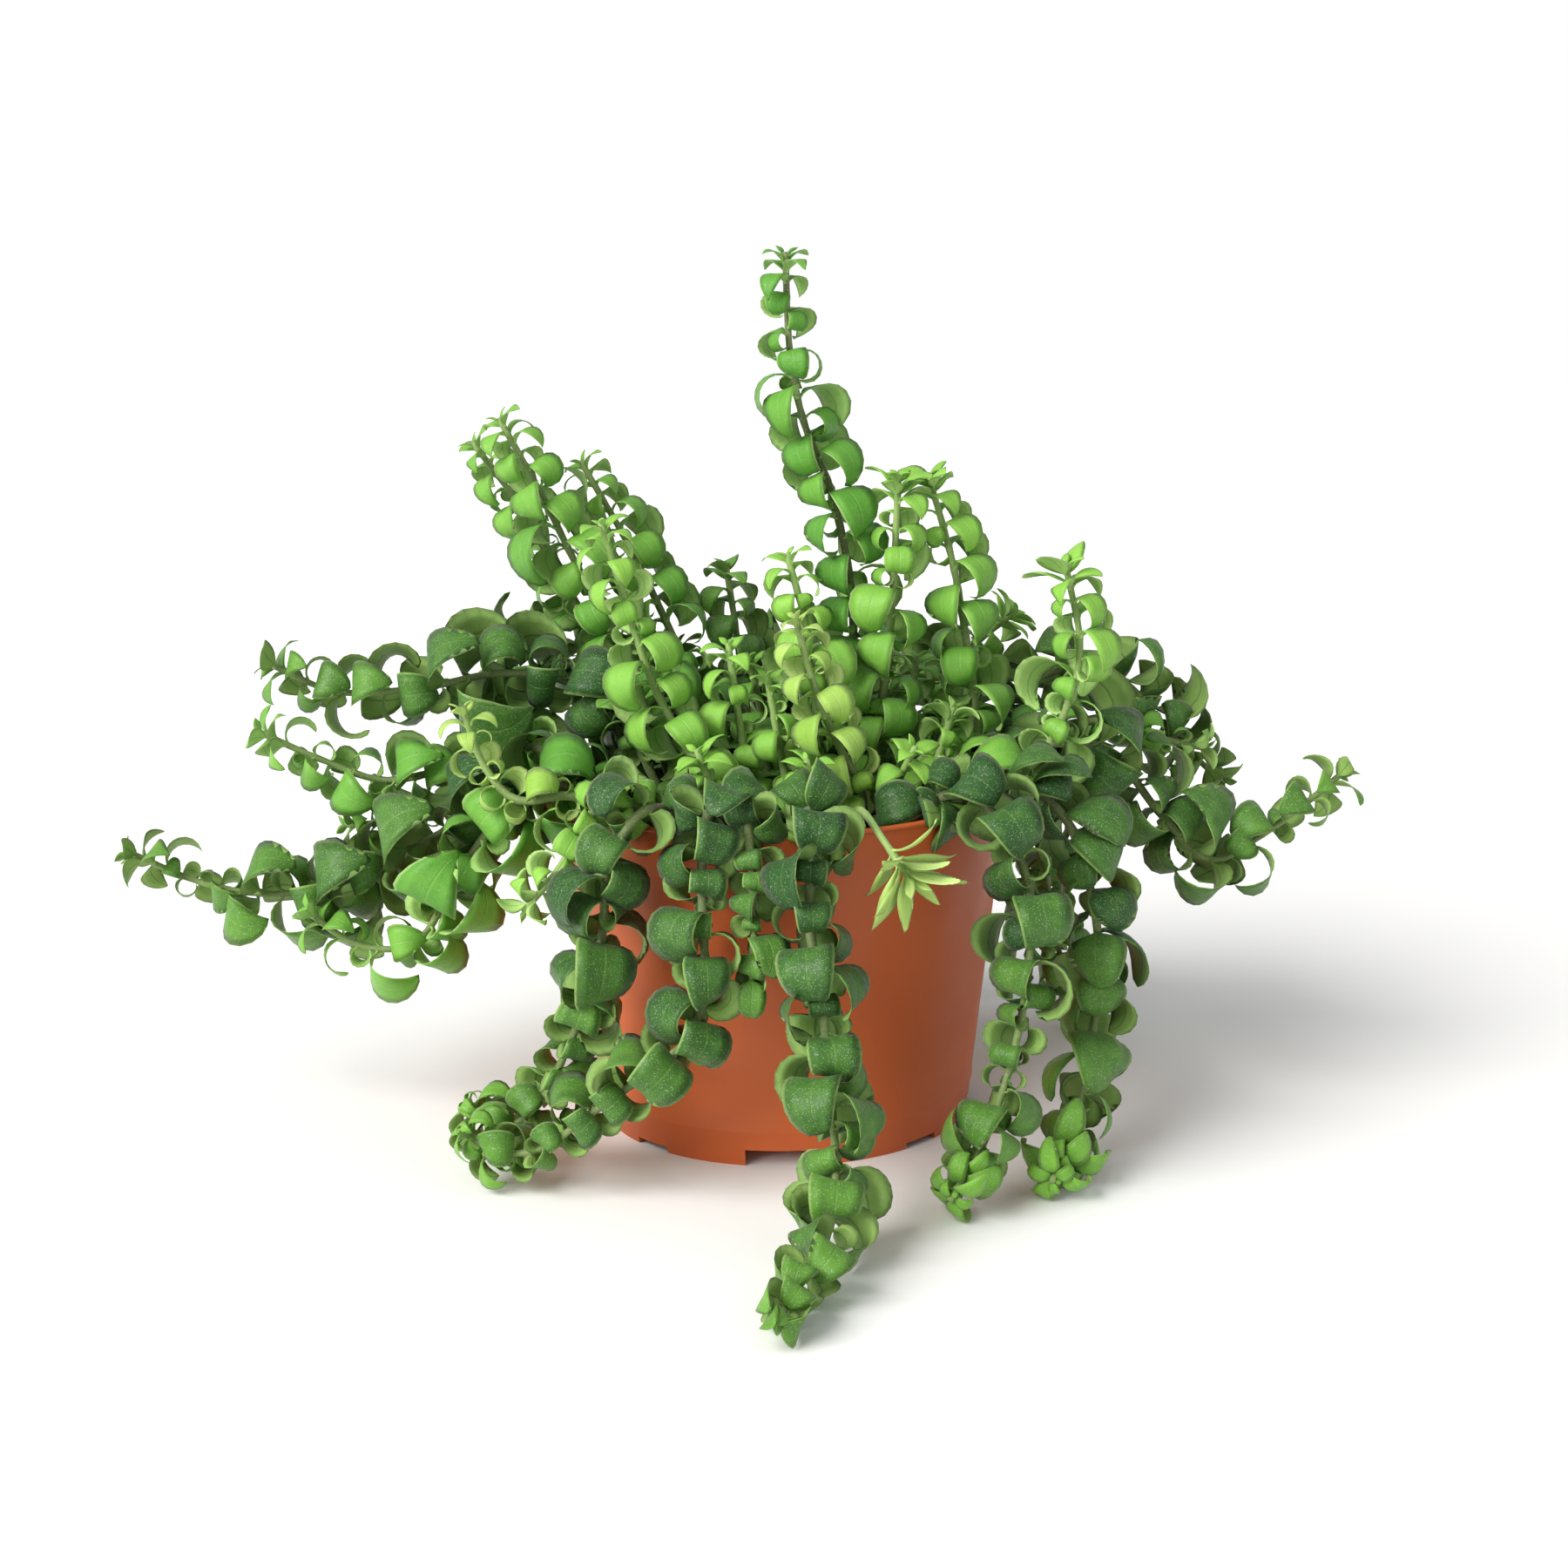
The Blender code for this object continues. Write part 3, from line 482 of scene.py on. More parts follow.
class Thicket:
    """The leaves and stems that stand already, and a blank to make the next leaf from."""

    def __init__(self):
        self.blank = leaf_blank()
        self.blank_points = [vert.co.copy() for vert in self.blank.vertices]
        self.faces = [list(polygon.vertices) for polygon in self.blank.polygons]
        self.leaves = {}
        self.stems = []

    def cell_of(self, points):
        middle = sum(points, Vector()) / len(points)
        return tuple(math.floor(value / CELL) for value in middle)

    def near(self, points):
        """The leaves in these points' cell and in those round it."""
        around = product(*(range(value - 1, value + 2) for value in self.cell_of(points)))
        return [leaf for cell in around for leaf in self.leaves.get(cell, [])]

    def hits(self, points, shoot):
        """How many faces of a leaf meet what stands already."""
        tree = BVHTree.FromPolygons(points, self.faces)
        count = sum(len(tree.overlap(other)) for other in self.near(points))
        low, high = limits(points)
        for name, stem, (stem_low, stem_high) in self.stems:
            apart = any(low[i] > stem_high[i] or high[i] < stem_low[i] for i in range(3))
            if name != shoot and not apart:
                count += STEM_WEIGHT * len(tree.overlap(stem))
        return count

    def add_leaf(self, points):
        tree = BVHTree.FromPolygons(points, self.faces)
        self.leaves.setdefault(self.cell_of(points), []).append(tree)

    def add_stem(self, name, bm):
        self.stems.append((name, BVHTree.FromBMesh(bm), limits([vert.co for vert in bm.verts])))

    def best_try(self, place, angle, form, shoot):
        """The roomiest of a few tries at a leaf: the faces it meets, its points and its form."""
        turn = place.to_3x3()
        up = turn.col[2].normalized()
        inside_pot = is_inside_pot(place.translation)
        best = None
        for attempt in range(TRIES):
            lean = math.radians(TURN_STEP) * attempt * (-1 if attempt % 2 else 1)
            out = turn @ Vector((math.cos(angle + lean), math.sin(angle + lean), 0))
            form_now = dict(form)
            form_now["length"] *= 1 - SHRINK_STEP * attempt
            form_now["bend"] *= 1 + CURL_STEP * attempt
            root = place.translation + out * STEM_RADIUS * 0.5
            stations = leaf_stations(root, out, up, form_now)
            points = bent(self.blank_points, stations, math.radians(form["fold"]))
            points = push_clear(points, self.blank_points, inside_pot)
            hits = self.hits(points, shoot)
            if best is None or hits < best[0]:
                best = (hits, points, form_now)
            if hits <= ROOMY:
                break
        return best


# ---- Shoots ----
STEM_RADIUS = 0.0016
TIP_SHARE = 0.55          # a stem's radius at its tip, of that at its base
STEM_SIDES = 8
STEM_STEP = 0.0035
NODE_SWELL = 0.20         # how much thicker a stem is where leaves grow, and over what length
NODE_LENGTH = 0.0016
FIRST_NODE = 0.0012       # from the tip

# How things grow with the distance from a shoot's tip: their share at the tip, and the distance
# over which that rises by 1.
CROWDING = (0.30, 0.030)  # of the spacing between pairs
BUD_SIZE = (0.20, 0.005)
BUD_CURL = (0.20, 0.018)
OPENING = (0.0, 0.016)    # from upright in the bud to a leaf's own first heading
BUD_HEADING = 72
TUFT_CURL = 0.8           # of a leaf's full curl
TUFT_AGE = (0.1, 0.5)     # at its tip, and how much more at its foot
AGEING = 1.6              # above 1, most of a shoot stays as old as its foot
LARGE_CHANCE = 0.2        # that a leaf is larger than those round it
LARGE_LEAF = 1.12
SLENDER_WITH_AGE = 0.15   # how much broader, for its length, a leaf starts than it ends

RISING = MATURE_UPRIGHT   # a hanging shoot's leaves, while it still rises
RISING_HEADING = -0.15    # it does where its heading's height is above this,
RISING_END = 0.05         # and further than this from its tip
TRAIL_ANGLES = (40, -130)   # a pair's two ways about a trail, mirrored at each other pair
FIRST_SEED = 101


def ramp(distance, least, reach):
    """Least at no distance, and 1 at most."""
    return min(1.0, least + distance / reach)


def leaf_nodes(total, kind):
    """Distances along the stem where pairs of leaves grow, closer together towards the tip."""
    nodes = []
    from_tip = FIRST_NODE
    while total - from_tip > kind["bare"]:
        nodes.append(total - from_tip)
        in_tuft = from_tip < kind["tuft"]
        spacing = kind["end"]["spacing"] if in_tuft else kind["spacing"]
        from_tip += spacing * ramp(from_tip, *CROWDING)
    return nodes[::-1]


def habit_at(kind, heading, from_tip):
    """How a shoot's leaves grow at one place: a tuft at its end, ringlets where it still rises."""
    if from_tip < kind["tuft"]:
        return kind["end"]
    if kind["bend"] < 0 and heading.z > RISING_HEADING and from_tip > RISING_END:
        return RISING
    return kind


def stem_places(line, nodes):
    """A stem's sections: tapered to its tip, and a little swollen where leaves grow."""
    total = length_of(line)
    count = max(4, round(total / STEM_STEP))
    distances = [total * i / count for i in range(count + 1)]
    places = []
    for distance, place in zip(distances, frames_along(line, distances)):
        swell = sum(math.exp(-((distance - node) / NODE_LENGTH) ** 2) for node in nodes)
        wide = STEM_RADIUS * (1 - (1 - TIP_SHARE) * distance / total)
        wide *= 1 + NODE_SWELL * min(swell, 1.0)
        places.append(place @ Matrix.Diagonal((wide, wide, 1, 1)))
    return places


def build_stem(places, foot_age, tip_age, tone):
    """A closed stem through its sections, marked with its age and tone."""
    bm = bmesh.new()
    growth = bm.verts.layers.float_color.new("growth")
    bm.loops.layers.uv.new("UVMap")
    bmesh.ops.create_cone(bm, cap_ends=True, segments=STEM_SIDES, radius1=1, radius2=1, depth=1)
    lower = [vert for vert in bm.verts if vert.co.z < 0]
    upper = [vert for vert in bm.verts if vert.co.z > 0]
    top = next(face for face in bm.faces if face.normal.z > 0.5)
    bmesh.ops.transform(bm, matrix=places[0] @ Matrix.Translation((0, 0, 0.5)), verts=lower)
    bmesh.ops.transform(bm, matrix=places[1] @ Matrix.Translation((0, 0, -0.5)), verts=upper)
    for vert in bm.verts:
        vert[growth] = (foot_age, tone, 0, 1)
    for i in range(2, len(places)):
        top = bmesh.ops.extrude_discrete_faces(bm, faces=[top])["faces"][0]
        bmesh.ops.transform(bm, matrix=places[i] @ places[i - 1].inverted(), verts=top.verts)
        age = foot_age + (tip_age - foot_age) * i / len(places)
        for vert in top.verts:
            vert[growth] = (age, tone, 0, 1)
    for face in bm.faces:
        face.smooth = True
        face.material_index = 1
    return bm


def leaf_form(kind, habit, from_tip, share, rng):
    """A leaf's own size, curl and age, by how far it is from the shoot's tip."""
    in_tuft = habit is kind["end"]
    grown = ramp(from_tip, kind["newest"], kind["ripening"]) * ramp(from_tip, *BUD_SIZE)
    curled = TUFT_CURL if in_tuft else ramp(from_tip, *BUD_CURL)
    foot, tip = kind["age"]
    age = foot + (tip - foot) * share ** AGEING
    if in_tuft:
        age *= TUFT_AGE[0] + TUFT_AGE[1] * from_tip / kind["tuft"]
    start = BUD_HEADING + (habit["start"] - BUD_HEADING) * ramp(from_tip, *OPENING)
    slender = 1 + SLENDER_WITH_AGE - SLENDER_WITH_AGE * grown
    large = LARGE_LEAF if rng.random() < LARGE_CHANCE else 1.0
    return {
        **habit,
        "length": habit["leaf"] * grown * large * rng.uniform(0.90, 1.08),
        "width": habit["width"] * rng.uniform(0.92, 1.08) * slender,
        "start": start + rng.uniform(-9, 9),
        "bend": habit["bend"] * curled * rng.uniform(0.86, 1.12) / large,
        "fold": habit["fold"] * (0.4 + 0.6 * grown) * rng.uniform(0.85, 1.15),
        "twist": rng.uniform(-0.7, 0.7),
        "phase": rng.uniform(0, 2 * math.pi),
        "age": max(0.0, min(1.0, age + rng.uniform(-0.10, 0.10))),
        "tone": rng.random(),
    }


def leaf_pair_angles(place, habit, index, rng):
    """The two ways a pair of leaves points, about the stem.

    Round an upright, each pair is a quarter turn on. On a trail, both face away from things.
    """
    if habit["bend"] > 0:
        first = 45 + 90 * (index % 2)
        return [math.radians(angle + rng.uniform(-22, 22)) for angle in (first, first + 180)]
    turn = place.to_3x3().transposed()
    front = turn @ away_from_things(place.translation)
    facing = math.atan2(front.y, front.x)
    mirror = 1 if index % 2 else -1
    return [facing + math.radians(mirror * angle + rng.uniform(-10, 10)) for angle in TRAIL_ANGLES]


class Shoot:
    """A shoot as it grows: its line, where its pairs of leaves stand, its draws and its mesh."""

    def __init__(self, number, name, kind, root, points):
        self.name = name
        self.kind = kind
        self.rng = random.Random(FIRST_SEED + number)
        self.line = smooth_line(route_points(root, points))
        self.total = length_of(self.line)
        self.nodes = leaf_nodes(self.total, kind)
        self.bm = build_stem(stem_places(self.line, self.nodes), *kind["age"], self.rng.random())

    def grow_leaves(self, thicket):
        """Grow each leaf where it has room, turned or shrunk a little where it meets another."""
        for index, (node, place) in enumerate(zip(self.nodes, frames_along(self.line, self.nodes))):
            from_tip = self.total - node
            habit = habit_at(self.kind, place.to_3x3().col[2].normalized(), from_tip)
            for angle in leaf_pair_angles(place, habit, index, self.rng):
                form = leaf_form(self.kind, habit, from_tip, node / self.total, self.rng)
                hits, points, form = thicket.best_try(place, angle, form, self.name)
                if hits <= MOST_HITS or from_tip <= ALWAYS_GROWN:
                    thicket.add_leaf(points)
                    self.add_leaf(thicket.blank, points, form)

    def add_leaf(self, blank, points, form):
        """Copy the blank into the shoot's mesh at these points, and mark its age and tone."""
        growth = self.bm.verts.layers.float_color["growth"]
        before = len(self.bm.verts)
        self.bm.from_mesh(blank)
        self.bm.verts.ensure_lookup_table()
        for vert, point in zip(self.bm.verts[before:], points):
            vert.co = point
            vert[growth] = (form["age"], form["tone"], 1, 1)

    def add_to_scene(self, paints):
        mesh = mesh_from(self.bm, self.name)
        mesh.materials.append(paints[self.kind["paint"]])
        mesh.materials.append(paints["stem"])
        add_piece("look_" + self.name, mesh, self.name)


def make_shoots(paints):
    """Every stem first, so that each leaf can keep clear of all of them, then the leaves."""
    thicket = Thicket()
    shoots = [Shoot(number, name, *SHOOTS[name]) for number, name in enumerate(SHOOTS)]
    for shoot in shoots:
        thicket.add_stem(shoot.name, shoot.bm)
    for shoot in shoots:
        shoot.grow_leaves(thicket)
        shoot.add_to_scene(paints)
    bpy.data.meshes.remove(thicket.blank)


def mesh_from(bm, name):
    """A mesh from a bmesh that is then done with."""
    mesh = bpy.data.meshes.new(name)
    bm.to_mesh(mesh)
    bm.free()
    return mesh


def new_object(name, data):
    result = bpy.data.objects.new(name, data)
    bpy.context.scene.collection.objects.link(result)
    return result


def add_piece(name, mesh, node):
    """A finished piece that rides the object's one body in the place of a solid."""
    piece = new_object(name, mesh)
    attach(piece, "root")
    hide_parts(node)


# ---- Pot ----
def arc(centre, radius, first, last, steps):
    """Points round a corner of a profile, between two angles in degrees."""
    points = []
    for i in range(steps + 1):
        angle = math.radians(first + (last - first) * i / steps)
        points.append((centre[0] + radius * math.cos(angle), centre[1] + radius * math.sin(angle)))
    return points


def on_wall(height):
    return (wall_radius(height), height)


def pot_profile():
    """The pot's section, from the middle of its floor over the rim and back under the floor."""
    lip = LIP_HEIGHT / 2
    lip_foot = POT_HEIGHT - LIP_HEIGHT
    inside = (inner_radius(FLOOR_TOP + FLOOR_FILLET) - FLOOR_FILLET, FLOOR_TOP + FLOOR_FILLET)
    mouth = (inner_radius(POT_HEIGHT) + MOUTH_ROUNDING, POT_HEIGHT - MOUTH_ROUNDING)
    profile = [(0, FLOOR_TOP)]
    profile += arc(inside, FLOOR_FILLET, 270, 360, 5)
    profile += arc(mouth, MOUTH_ROUNDING, 180, 90, 3)
    profile += arc((RIM_RADIUS - lip, POT_HEIGHT - lip), lip, 90, -90, 10)
    profile.append(on_wall(lip_foot - UNDER_LIP))
    for step in range(1, WALL_STEPS):
        profile.append(on_wall(lip_foot + (SEAM_HEIGHT - lip_foot) * step / WALL_STEPS))
    for rise, out in SEAM_SHAPE:
        height = SEAM_HEIGHT + rise
        profile.append((wall_radius(height) + SEAM_OUT * out, height))
    return profile + [on_wall(FOOT_BEVEL_HEIGHT),
                      (BASE_RADIUS - FOOT_BEVEL, 0),
                      (BASE_RADIUS - POT_WALL + FOOT_BEVEL, 0),
                      (inner_radius(FOOT_BEVEL_HEIGHT), FOOT_BEVEL_HEIGHT),
                      (inner_radius(FLOOR_LIFT), FLOOR_LIFT),
                      (0, FLOOR_LIFT)]


def turned(profile):
    """A solid turned from a profile that starts and ends on the axis."""
    bm = bmesh.new()
    corners = [bm.verts.new((radius, 0, height)) for radius, height in profile]
    edges = [bm.edges.new(pair) for pair in zip(corners, corners[1:])]
    bmesh.ops.spin(bm, geom=corners + edges, cent=(0, 0, 0), axis=(0, 0, 1), dvec=(0, 0, 0),
                   angle=2 * math.pi, steps=TURN_STEPS, use_merge=True)
    bmesh.ops.remove_doubles(bm, verts=bm.verts, dist=0.00001)
    bmesh.ops.recalc_face_normals(bm, faces=bm.faces)
    return bm


def cut_away(bm, cutters):
    """The mesh that is left of a shape when the cutters are taken out of it."""
    part = new_object("uncut", mesh_from(bm, "uncut"))
    tools = [new_object("tool", mesh_from(cutter, "tool")) for cutter in cutters]
    for tool in tools:
        boolean = part.modifiers.new("Cut", "BOOLEAN")
        boolean.operation = "DIFFERENCE"
        boolean.object = tool
    depsgraph = bpy.context.evaluated_depsgraph_get()
    mesh = bpy.data.meshes.new_from_object(part.evaluated_get(depsgraph))
    for item in (part, *tools):
        bpy.data.objects.remove(item)
    return mesh


def foot_cuts():
    """Blocks that open the pot's foot ring: wide ones, and a narrow one between each two."""
    bm = bmesh.new()
    for i in range(2 * FOOT_CUTS):
        width, height = (NARROW_CUT, NARROW_CUT_HEIGHT) if i % 2 else (WIDE_CUT, WIDE_CUT_HEIGHT)
        turn = Matrix.Rotation(math.pi * i / FOOT_CUTS, 4, "Z")
        size = Matrix.Diagonal((FOOT_CUT_REACH, width, 2 * height, 1))
        place = turn @ Matrix.Translation((BASE_RADIUS, 0, 0)) @ size
        bmesh.ops.create_cube(bm, size=1, matrix=place)
    return bm


def drain_rods():
    bm = bmesh.new()
    for i in range(DRAIN_HOLES):
        turn = Matrix.Rotation(2 * math.pi * (i + 0.5) / DRAIN_HOLES, 4, "Z")
        place = turn @ Matrix.Translation((DRAIN_CIRCLE, 0, FLOOR_LIFT + FLOOR_THICKNESS / 2))
        bmesh.ops.create_cone(bm, cap_ends=True, segments=24, radius1=DRAIN_RADIUS,
                              radius2=DRAIN_RADIUS, depth=2 * FLOOR_THICKNESS, matrix=place)
    return bm


def make_pot(paint):
    mesh = cut_away(turned(pot_profile()), (foot_cuts(), drain_rods()))
    mesh.transform(Matrix.Translation(POT_AXIS))
    mesh.shade_smooth()
    mesh.set_sharp_from_angle(angle=math.radians(35))
    mesh.materials.clear()
    mesh.materials.append(paint)
    add_piece("look_nursery_pot", mesh, "nursery_pot")


# ---- Soil ----
SOIL_RINGS = 44
SOIL_FIT = 0.0003         # between the soil and the pot
FINE_LUMPS = 0.0009
BROAD_LUMPS = 0.0007
CRUMBS = 420
CRUMB_MARGIN = 0.002      # from the soil's edge
GRIT_EVERY = 6            # one crumb in so many is paler


def soil_height(x, y):
    """The lumpy top of the soil, from the pot's axis."""
    share = min(1.0, math.hypot(x, y) / inner_radius(SOIL_EDGE))
    crown = SOIL_CROWN * (1 - share ** 2)
    place = Vector((x, y, 0.0))
    fine = FINE_LUMPS * noise.fractal(place * 220, 0.8, 2.0, 3)
    return SOIL_EDGE + crown + (fine + BROAD_LUMPS * noise.noise(place * 70))


def soil_body(edge):
    """The soil without its crumbs: a turned solid with a lumpy top."""
    underside = FLOOR_TOP + SOIL_FIT
    profile = [(edge * i / SOIL_RINGS, SOIL_EDGE) for i in range(SOIL_RINGS + 1)]
    profile += [(inner_radius(underside) - SOIL_FIT, underside), (0, underside)]
    bm = turned(profile)
    for vert in bm.verts:
        if vert.co.z > SOIL_EDGE - 0.0001:
            vert.co.z = soil_height(vert.co.x, vert.co.y)
    return bm


def add_crumb(bm, reach, rng):
    """A small tilted lump that lies on the soil."""
    radius = reach * math.sqrt(rng.random())
    angle = rng.uniform(0, 2 * math.pi)
    x, y = radius * math.cos(angle), radius * math.sin(angle)
    size = rng.uniform(0.0005, 0.0016)
    turn = Matrix.Rotation(rng.uniform(0, 6.28), 4, (rng.random(), rng.random(), rng.random()))
    stretch = Matrix.Diagonal((1, rng.uniform(0.5, 1), rng.uniform(0.4, 0.9), 1))
    place = Matrix.Translation((x, y, soil_height(x, y))) @ turn @ stretch
    bmesh.ops.create_icosphere(bm, subdivisions=1, radius=size, matrix=place)


def make_soil(paint, grit_paint):
    edge = inner_radius(SOIL_EDGE) - SOIL_FIT
    bm = soil_body(edge)
    rng = random.Random(5)
    for i in range(CRUMBS):
        before = len(bm.faces)
        add_crumb(bm, edge - CRUMB_MARGIN, rng)
        if i % GRIT_EVERY == 0:
            bm.faces.ensure_lookup_table()
            for face in bm.faces[before:]:
                face.material_index = 1
    bmesh.ops.translate(bm, vec=POT_AXIS, verts=bm.verts)
    mesh = mesh_from(bm, "soil")
    mesh.shade_smooth()
    mesh.materials.append(paint)
    mesh.materials.append(grit_paint)
    add_piece("look_soil", mesh, "soil")


# ---- Materials ----
def new_group(name, inputs, outputs):
    """An empty node group with its sockets. inputs and outputs: name and kind of each."""
    group = bpy.data.node_groups.new(name, "ShaderNodeTree")
    for socket, kind in inputs:
        group.interface.new_socket(socket, in_out="INPUT", socket_type="NodeSocket" + kind)
    for socket, kind in outputs:
        group.interface.new_socket(socket, in_out="OUTPUT", socket_type="NodeSocket" + kind)
    return group


class Nodes:
    """Short ways to add and join nodes in one tree."""

    def __init__(self, tree):
        self.tree = tree

    def add(self, kind, **settings):
        node = self.tree.nodes.new("ShaderNode" + kind)
        for name, value in settings.items():
            setattr(node, name, value)
        return node

    def put(self, socket, value):
        """Join a socket to another node's output, or give it a value."""
        if isinstance(value, bpy.types.NodeSocket):
            self.tree.links.new(value, socket)
        else:
            socket.default_value = value

    def fill(self, node, values):
        """Put a value in each of a node's named inputs."""
        for name, value in values.items():
            self.put(node.inputs[name], value)

    def math(self, operation, *values, clamp=False):
        node = self.add("Math", operation=operation, use_clamp=clamp)
        for socket, value in zip(node.inputs, values):
            self.put(socket, value)
        return node.outputs[0]

    def mix(self, share, first, second):
        node = self.add("Mix", data_type="RGBA")
        self.fill(node, {"Factor": share, "A": first, "B": second})
        return node.outputs["Result"]

    def span(self, value, low, high, to_low=0.0, to_high=1.0):
        """Spread a value between two limits over another pair, without going past them."""
        node = self.add("MapRange", interpolation_type="SMOOTHSTEP")
        for socket, number in zip(node.inputs, (value, low, high, to_low, to_high)):
            self.put(socket, number)
        return node.outputs[0]

    def swing(self, value, amount):
        """A value between 0 and 1 as a shift up or down, over this amount in all."""
        return self.math("MULTIPLY", self.math("SUBTRACT", value, 0.5), amount)

    def noise(self, scale, detail=2.0):
        node = self.add("TexNoise")
        place = self.add("TexCoord").outputs["Object"]
        self.fill(node, {"Vector": place, "Scale": scale, "Detail": detail})
        return node.outputs["Fac"]

    def growth(self):
        """Age and tone, as marked in each point of a shoot."""
        parts = self.add("SeparateColor")
        self.put(parts.inputs[0], self.add("Attribute", attribute_name="growth").outputs["Color"])
        return parts.outputs[0], parts.outputs[1]

    def bump(self, height, strength, distance):
        node = self.add("Bump")
        self.fill(node, {"Height": height, "Strength": strength, "Distance": distance})
        return node.outputs["Normal"]


def colour(*values):
    return (*values, 1.0)


def leaf_top(n, given, ripeness, rib, from_rib):
    """The upper side's colour: a fine midrib, a pale hairy rim and specks."""
    top = n.mix(ripeness, given["Young"], given["Old"])
    top = n.mix(n.math("MULTIPLY", rib, 0.10), top, given["Underside"])
    rim = n.span(from_rib, 0.86, 0.98)
    top = n.mix(n.math("MULTIPLY", rim, 0.75), top, given["Underside"])
    speck = n.span(n.noise(2300, 1.0), 0.60, 0.70)
    return n.mix(n.math("MULTIPLY", speck, given["Specks"]), top, colour(0.50, 0.58, 0.44))


def leaf_below(n, given, ripeness, from_rib):
    """The underside's colour: paler, with a darker midrib."""
    below = n.mix(n.math("MULTIPLY", ripeness, 0.45), given["Underside"], given["Old"])
    rib = n.span(from_rib, 0.0, 0.08, 1.0, 0.0)
    return n.mix(n.math("MULTIPLY", rib, 0.55), below, given["Old"])


def leaf_pattern():
    """Colour, gloss and relief of a leaf, from its age and tone."""
    group = new_group("Leaf pattern",
                      (("Young", "Color"), ("Old", "Color"), ("Underside", "Color"),
                       ("Specks", "Float")),
                      (("Colour", "Color"), ("Roughness", "Float"), ("Normal", "Vector")))
    n = Nodes(group)
    given = group.nodes.new("NodeGroupInput").outputs
    result = group.nodes.new("NodeGroupOutput").inputs
    age, tone = n.growth()
    uv = n.add("SeparateXYZ")
    n.put(uv.inputs[0], n.add("UVMap", uv_map="UVMap").outputs[0])
    across, along = uv.outputs[0], uv.outputs[1]
    under = n.math("GREATER_THAN", along, 1.0001)
    from_rib = n.math("MULTIPLY", n.math("ABSOLUTE", n.math("SUBTRACT", across, 0.5)), 2.0)
    rib = n.span(from_rib, 0.0, 0.07, 1.0, 0.0)

    blotched = n.math("ADD", age, n.swing(n.noise(190, 3.0), 0.5))
    ripeness = n.math("ADD", blotched, n.swing(tone, 0.22), clamp=True)
    top = leaf_top(n, given, ripeness, rib, from_rib)
    n.put(result["Colour"], n.mix(under, top, leaf_below(n, given, ripeness, from_rib)))
    gloss = n.span(n.noise(420), 0.3, 0.7, 0.36, 0.54)
    n.put(result["Roughness"], n.math("ADD", gloss, n.math("MULTIPLY", under, 0.16)))
    relief = n.math("ADD", n.noise(600), n.math("MULTIPLY", n.noise(2600), 0.6))
    relief = n.math("SUBTRACT", relief, n.math("MULTIPLY", rib, 0.6))
    n.put(result["Normal"], n.bump(relief, 0.55, 0.0003))
    return group


def new_material(name):
    """A material, its nodes and its shader."""
    result = bpy.data.materials.new(name)
    result.use_nodes = True
    return result, Nodes(result.node_tree), result.node_tree.nodes["Principled BSDF"]


def leaf_material(name, pattern, young, old, underside, specks, sheen):
    result, n, shader = new_material(name)
    node = n.add("Group", node_tree=pattern)
    n.fill(node, {"Young": colour(*young), "Old": colour(*old), "Underside": colour(*underside),
                  "Specks": specks})
    n.fill(shader, {"Base Color": node.outputs["Colour"], "Roughness": node.outputs["Roughness"],
                    "Normal": node.outputs["Normal"], "Specular IOR Level": 0.26,
                    "Sheen Weight": sheen, "Sheen Roughness": 0.4})
    return result


def stem_material():
    result, n, shader = new_material("stem")
    age, _ = n.growth()
    woody = n.math("ADD", age, n.swing(n.noise(160), 0.7), clamp=True)
    skin = n.mix(woody, colour(0.26, 0.42, 0.10), colour(0.11, 0.13, 0.045))
    specks = n.span(n.noise(2200, 1.0), 0.60, 0.68)
    skin = n.mix(n.math("MULTIPLY", specks, 0.45), skin, colour(0.50, 0.50, 0.36))
    n.fill(shader, {"Base Color": skin, "Roughness": 0.62, "Sheen Weight": 0.25,
                    "Normal": n.bump(n.noise(1400, 3.0), 0.4, 0.0003)})
    return result


def pot_material():
    result, n, shader = new_material("terracotta_plastic")
    skin = n.mix(n.noise(26, 3.0), colour(0.53, 0.104, 0.024), colour(0.59, 0.124, 0.030))
    n.fill(shader, {"Base Color": skin, "Specular IOR Level": 0.34,
                    "Roughness": n.span(n.noise(60, 4.0), 0.3, 0.7, 0.38, 0.48),
                    "Normal": n.bump(n.noise(900, 3.0), 0.12, 0.0002)})
    return result


def soil_material(name, dark, light):
    result, n, shader = new_material(name)
    n.fill(shader, {"Base Color": n.mix(n.noise(700, 4.0), dark, light), "Roughness": 0.95,
                    "Normal": n.bump(n.noise(1200, 4.0), 0.8, 0.0006)})
    return result


def floor_material():
    result, n, shader = new_material("floor")
    n.fill(shader, {"Base Color": colour(0.95, 0.95, 0.95), "Roughness": 0.9})
    return result


# Young, old and underside colours of each kind of leaf, then its specks and its sheen.
LEAF_PAINTS = {
    "leaf_mature": ((0.170, 0.410, 0.040), (0.023, 0.082, 0.016), (0.30, 0.48, 0.12), 0.34, 0.10),
    "leaf_young": ((0.250, 0.520, 0.070), (0.090, 0.290, 0.032), (0.42, 0.64, 0.20), 0.18, 0.04),
    "leaf_pale": ((0.430, 0.620, 0.150), (0.210, 0.430, 0.040), (0.50, 0.66, 0.22), 0.15, 0.10),
}


def make_paints():
    pattern = leaf_pattern()
    leaves = {name: leaf_material(name, pattern, *looks) for name, looks in LEAF_PAINTS.items()}
    return {
        **leaves,
        "stem": stem_material(),
        "pot": pot_material(),
        "soil": soil_material("soil", colour(0.012, 0.008, 0.005), colour(0.050, 0.032, 0.018)),
        "grit": soil_material("grit", colour(0.090, 0.060, 0.035), colour(0.22, 0.17, 0.11)),
        "floor": floor_material(),
    }


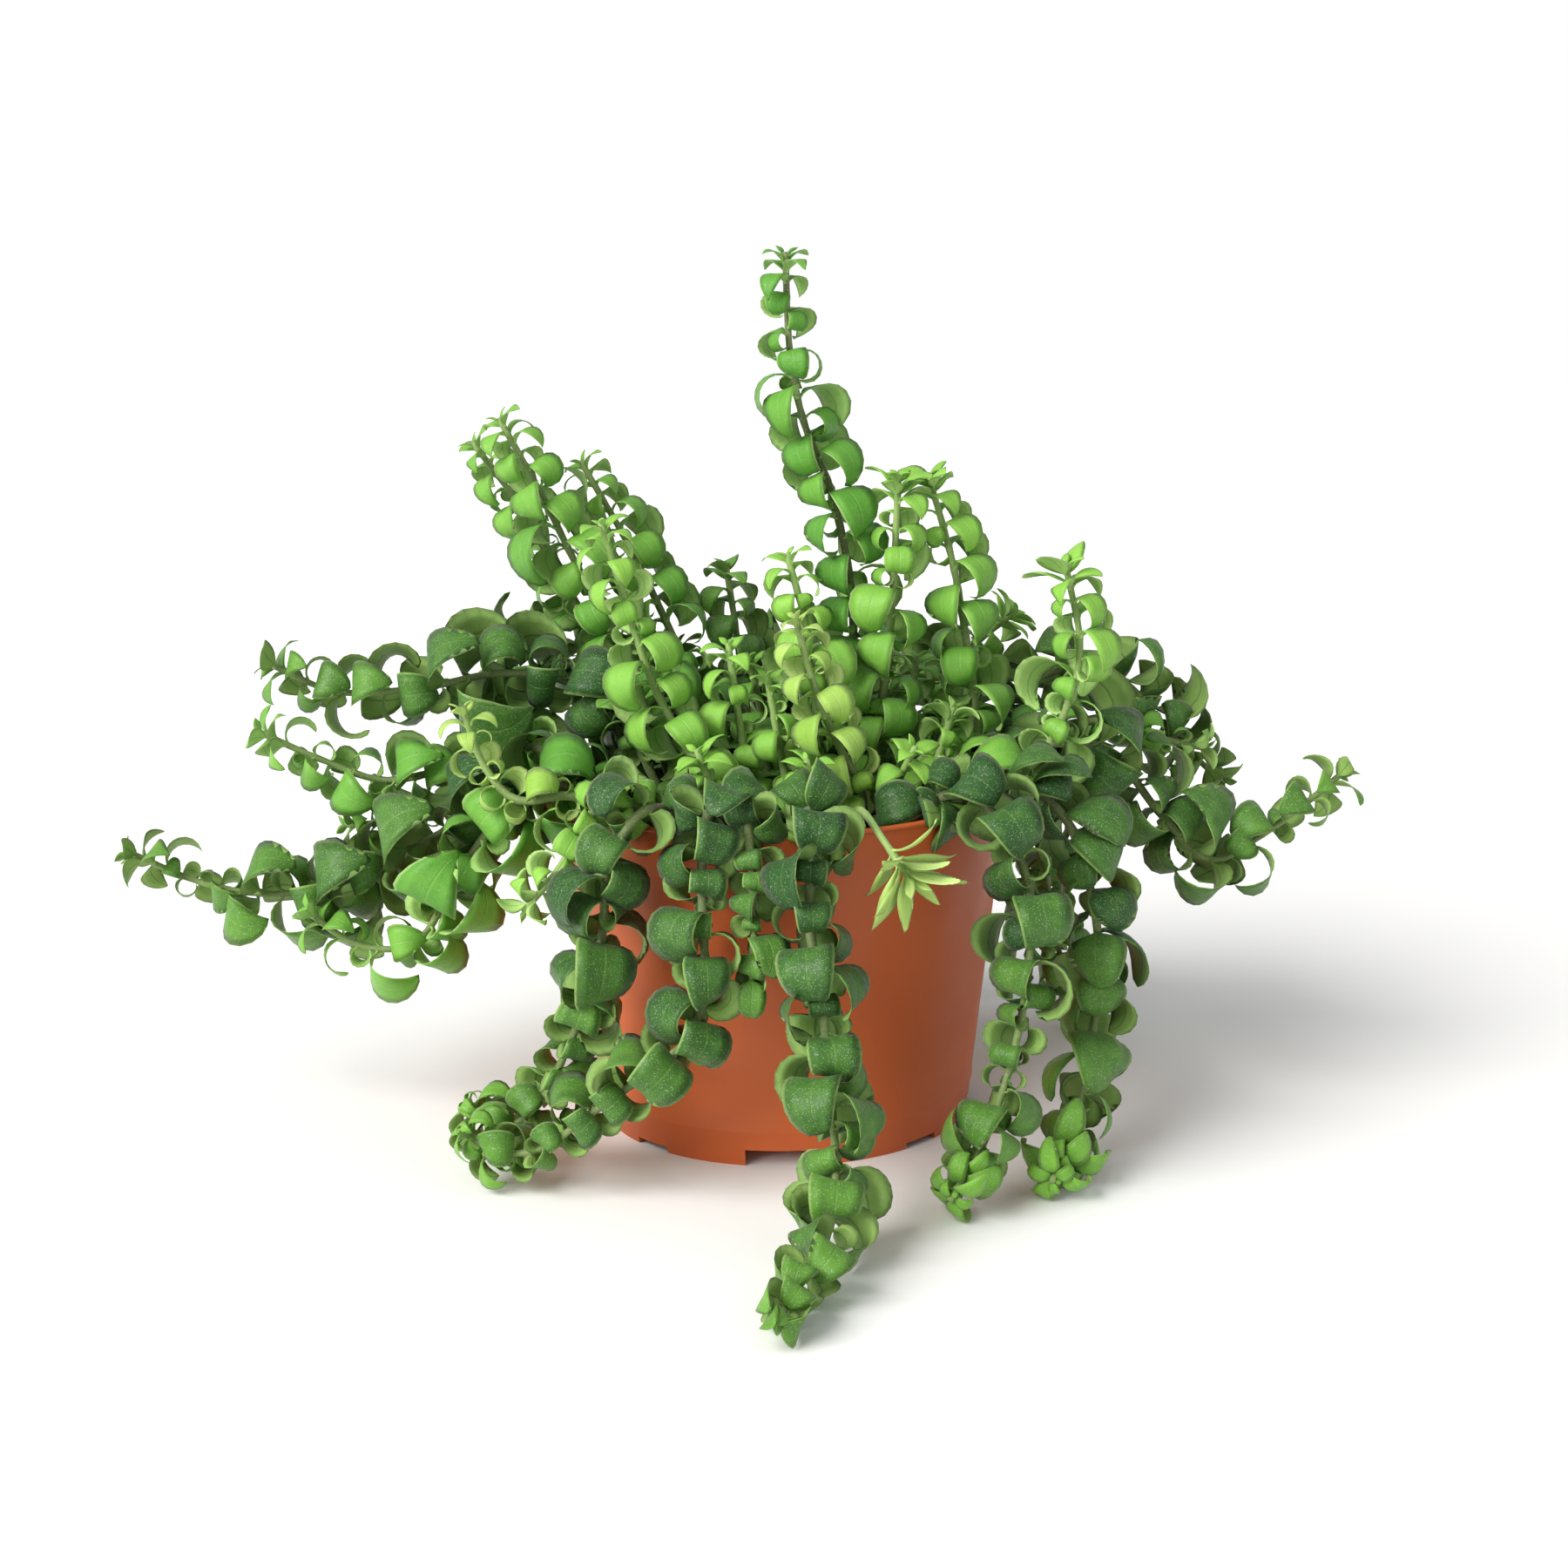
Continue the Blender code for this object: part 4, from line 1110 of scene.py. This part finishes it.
# ---- Studio ----
AMBIENT = 0.44
KEY_STRENGTH = 4.1
FILL_STRENGTH = 0.25
FLOOR_RADIUS = 4.0


def make_camera():
    data = bpy.data.cameras.new("Camera")
    data.lens = LENS
    data.sensor_width = 36.0
    camera = new_object("Camera", data)
    place = Matrix.Translation(POT_AXIS + Vector((0, -CAMERA_FROM_AXIS, CAMERA_HEIGHT)))
    look = (Matrix.Rotation(CAMERA_YAW, 4, "Z") @
            Matrix.Rotation(math.pi / 2 + CAMERA_PITCH, 4, "X") @
            Matrix.Rotation(CAMERA_ROLL, 4, "Z"))
    camera.matrix_world = place @ look
    bpy.context.scene.camera = camera


def make_world():
    """A dim, even light all round, with white behind the object."""
    world = bpy.data.worlds.new("Studio")
    world.use_nodes = True
    n = Nodes(world.node_tree)
    seen = n.add("LightPath").outputs["Is Camera Ray"]
    strength = n.add("MapRange")
    n.fill(strength, {"Value": seen, "To Min": AMBIENT, "To Max": 1.0})
    n.fill(world.node_tree.nodes["Background"],
           {"Color": colour(1.0, 1.0, 1.0), "Strength": strength.outputs[0]})
    bpy.context.scene.world = world


def add_sun(name, direction, strength, spread, tint):
    data = bpy.data.lights.new(name, "SUN")
    data.energy = strength
    data.angle = math.radians(spread)
    data.color = tint
    light = new_object(name, data)
    light.rotation_euler = Vector(direction).to_track_quat("-Z", "Y").to_euler()


def make_studio(paint):
    make_world()
    bpy.context.scene.view_settings.view_transform = "Standard"
    add_sun("Key", (0.72, 0.60, -0.66), KEY_STRENGTH, 48, (1.0, 0.985, 0.95))
    add_sun("Fill", (-0.7, 0.5, -0.5), FILL_STRENGTH, 60, (0.95, 0.98, 1.0))
    bm = bmesh.new()
    bmesh.ops.create_circle(bm, cap_ends=True, segments=64, radius=FLOOR_RADIUS)
    mesh = mesh_from(bm, "floor")
    mesh.materials.append(paint)
    floor = new_object("floor", mesh)


make_camera()
paints = make_paints()
make_pot(paints["pot"])
make_soil(paints["soil"], paints["grit"])
make_shoots(paints)
make_studio(paints["floor"])
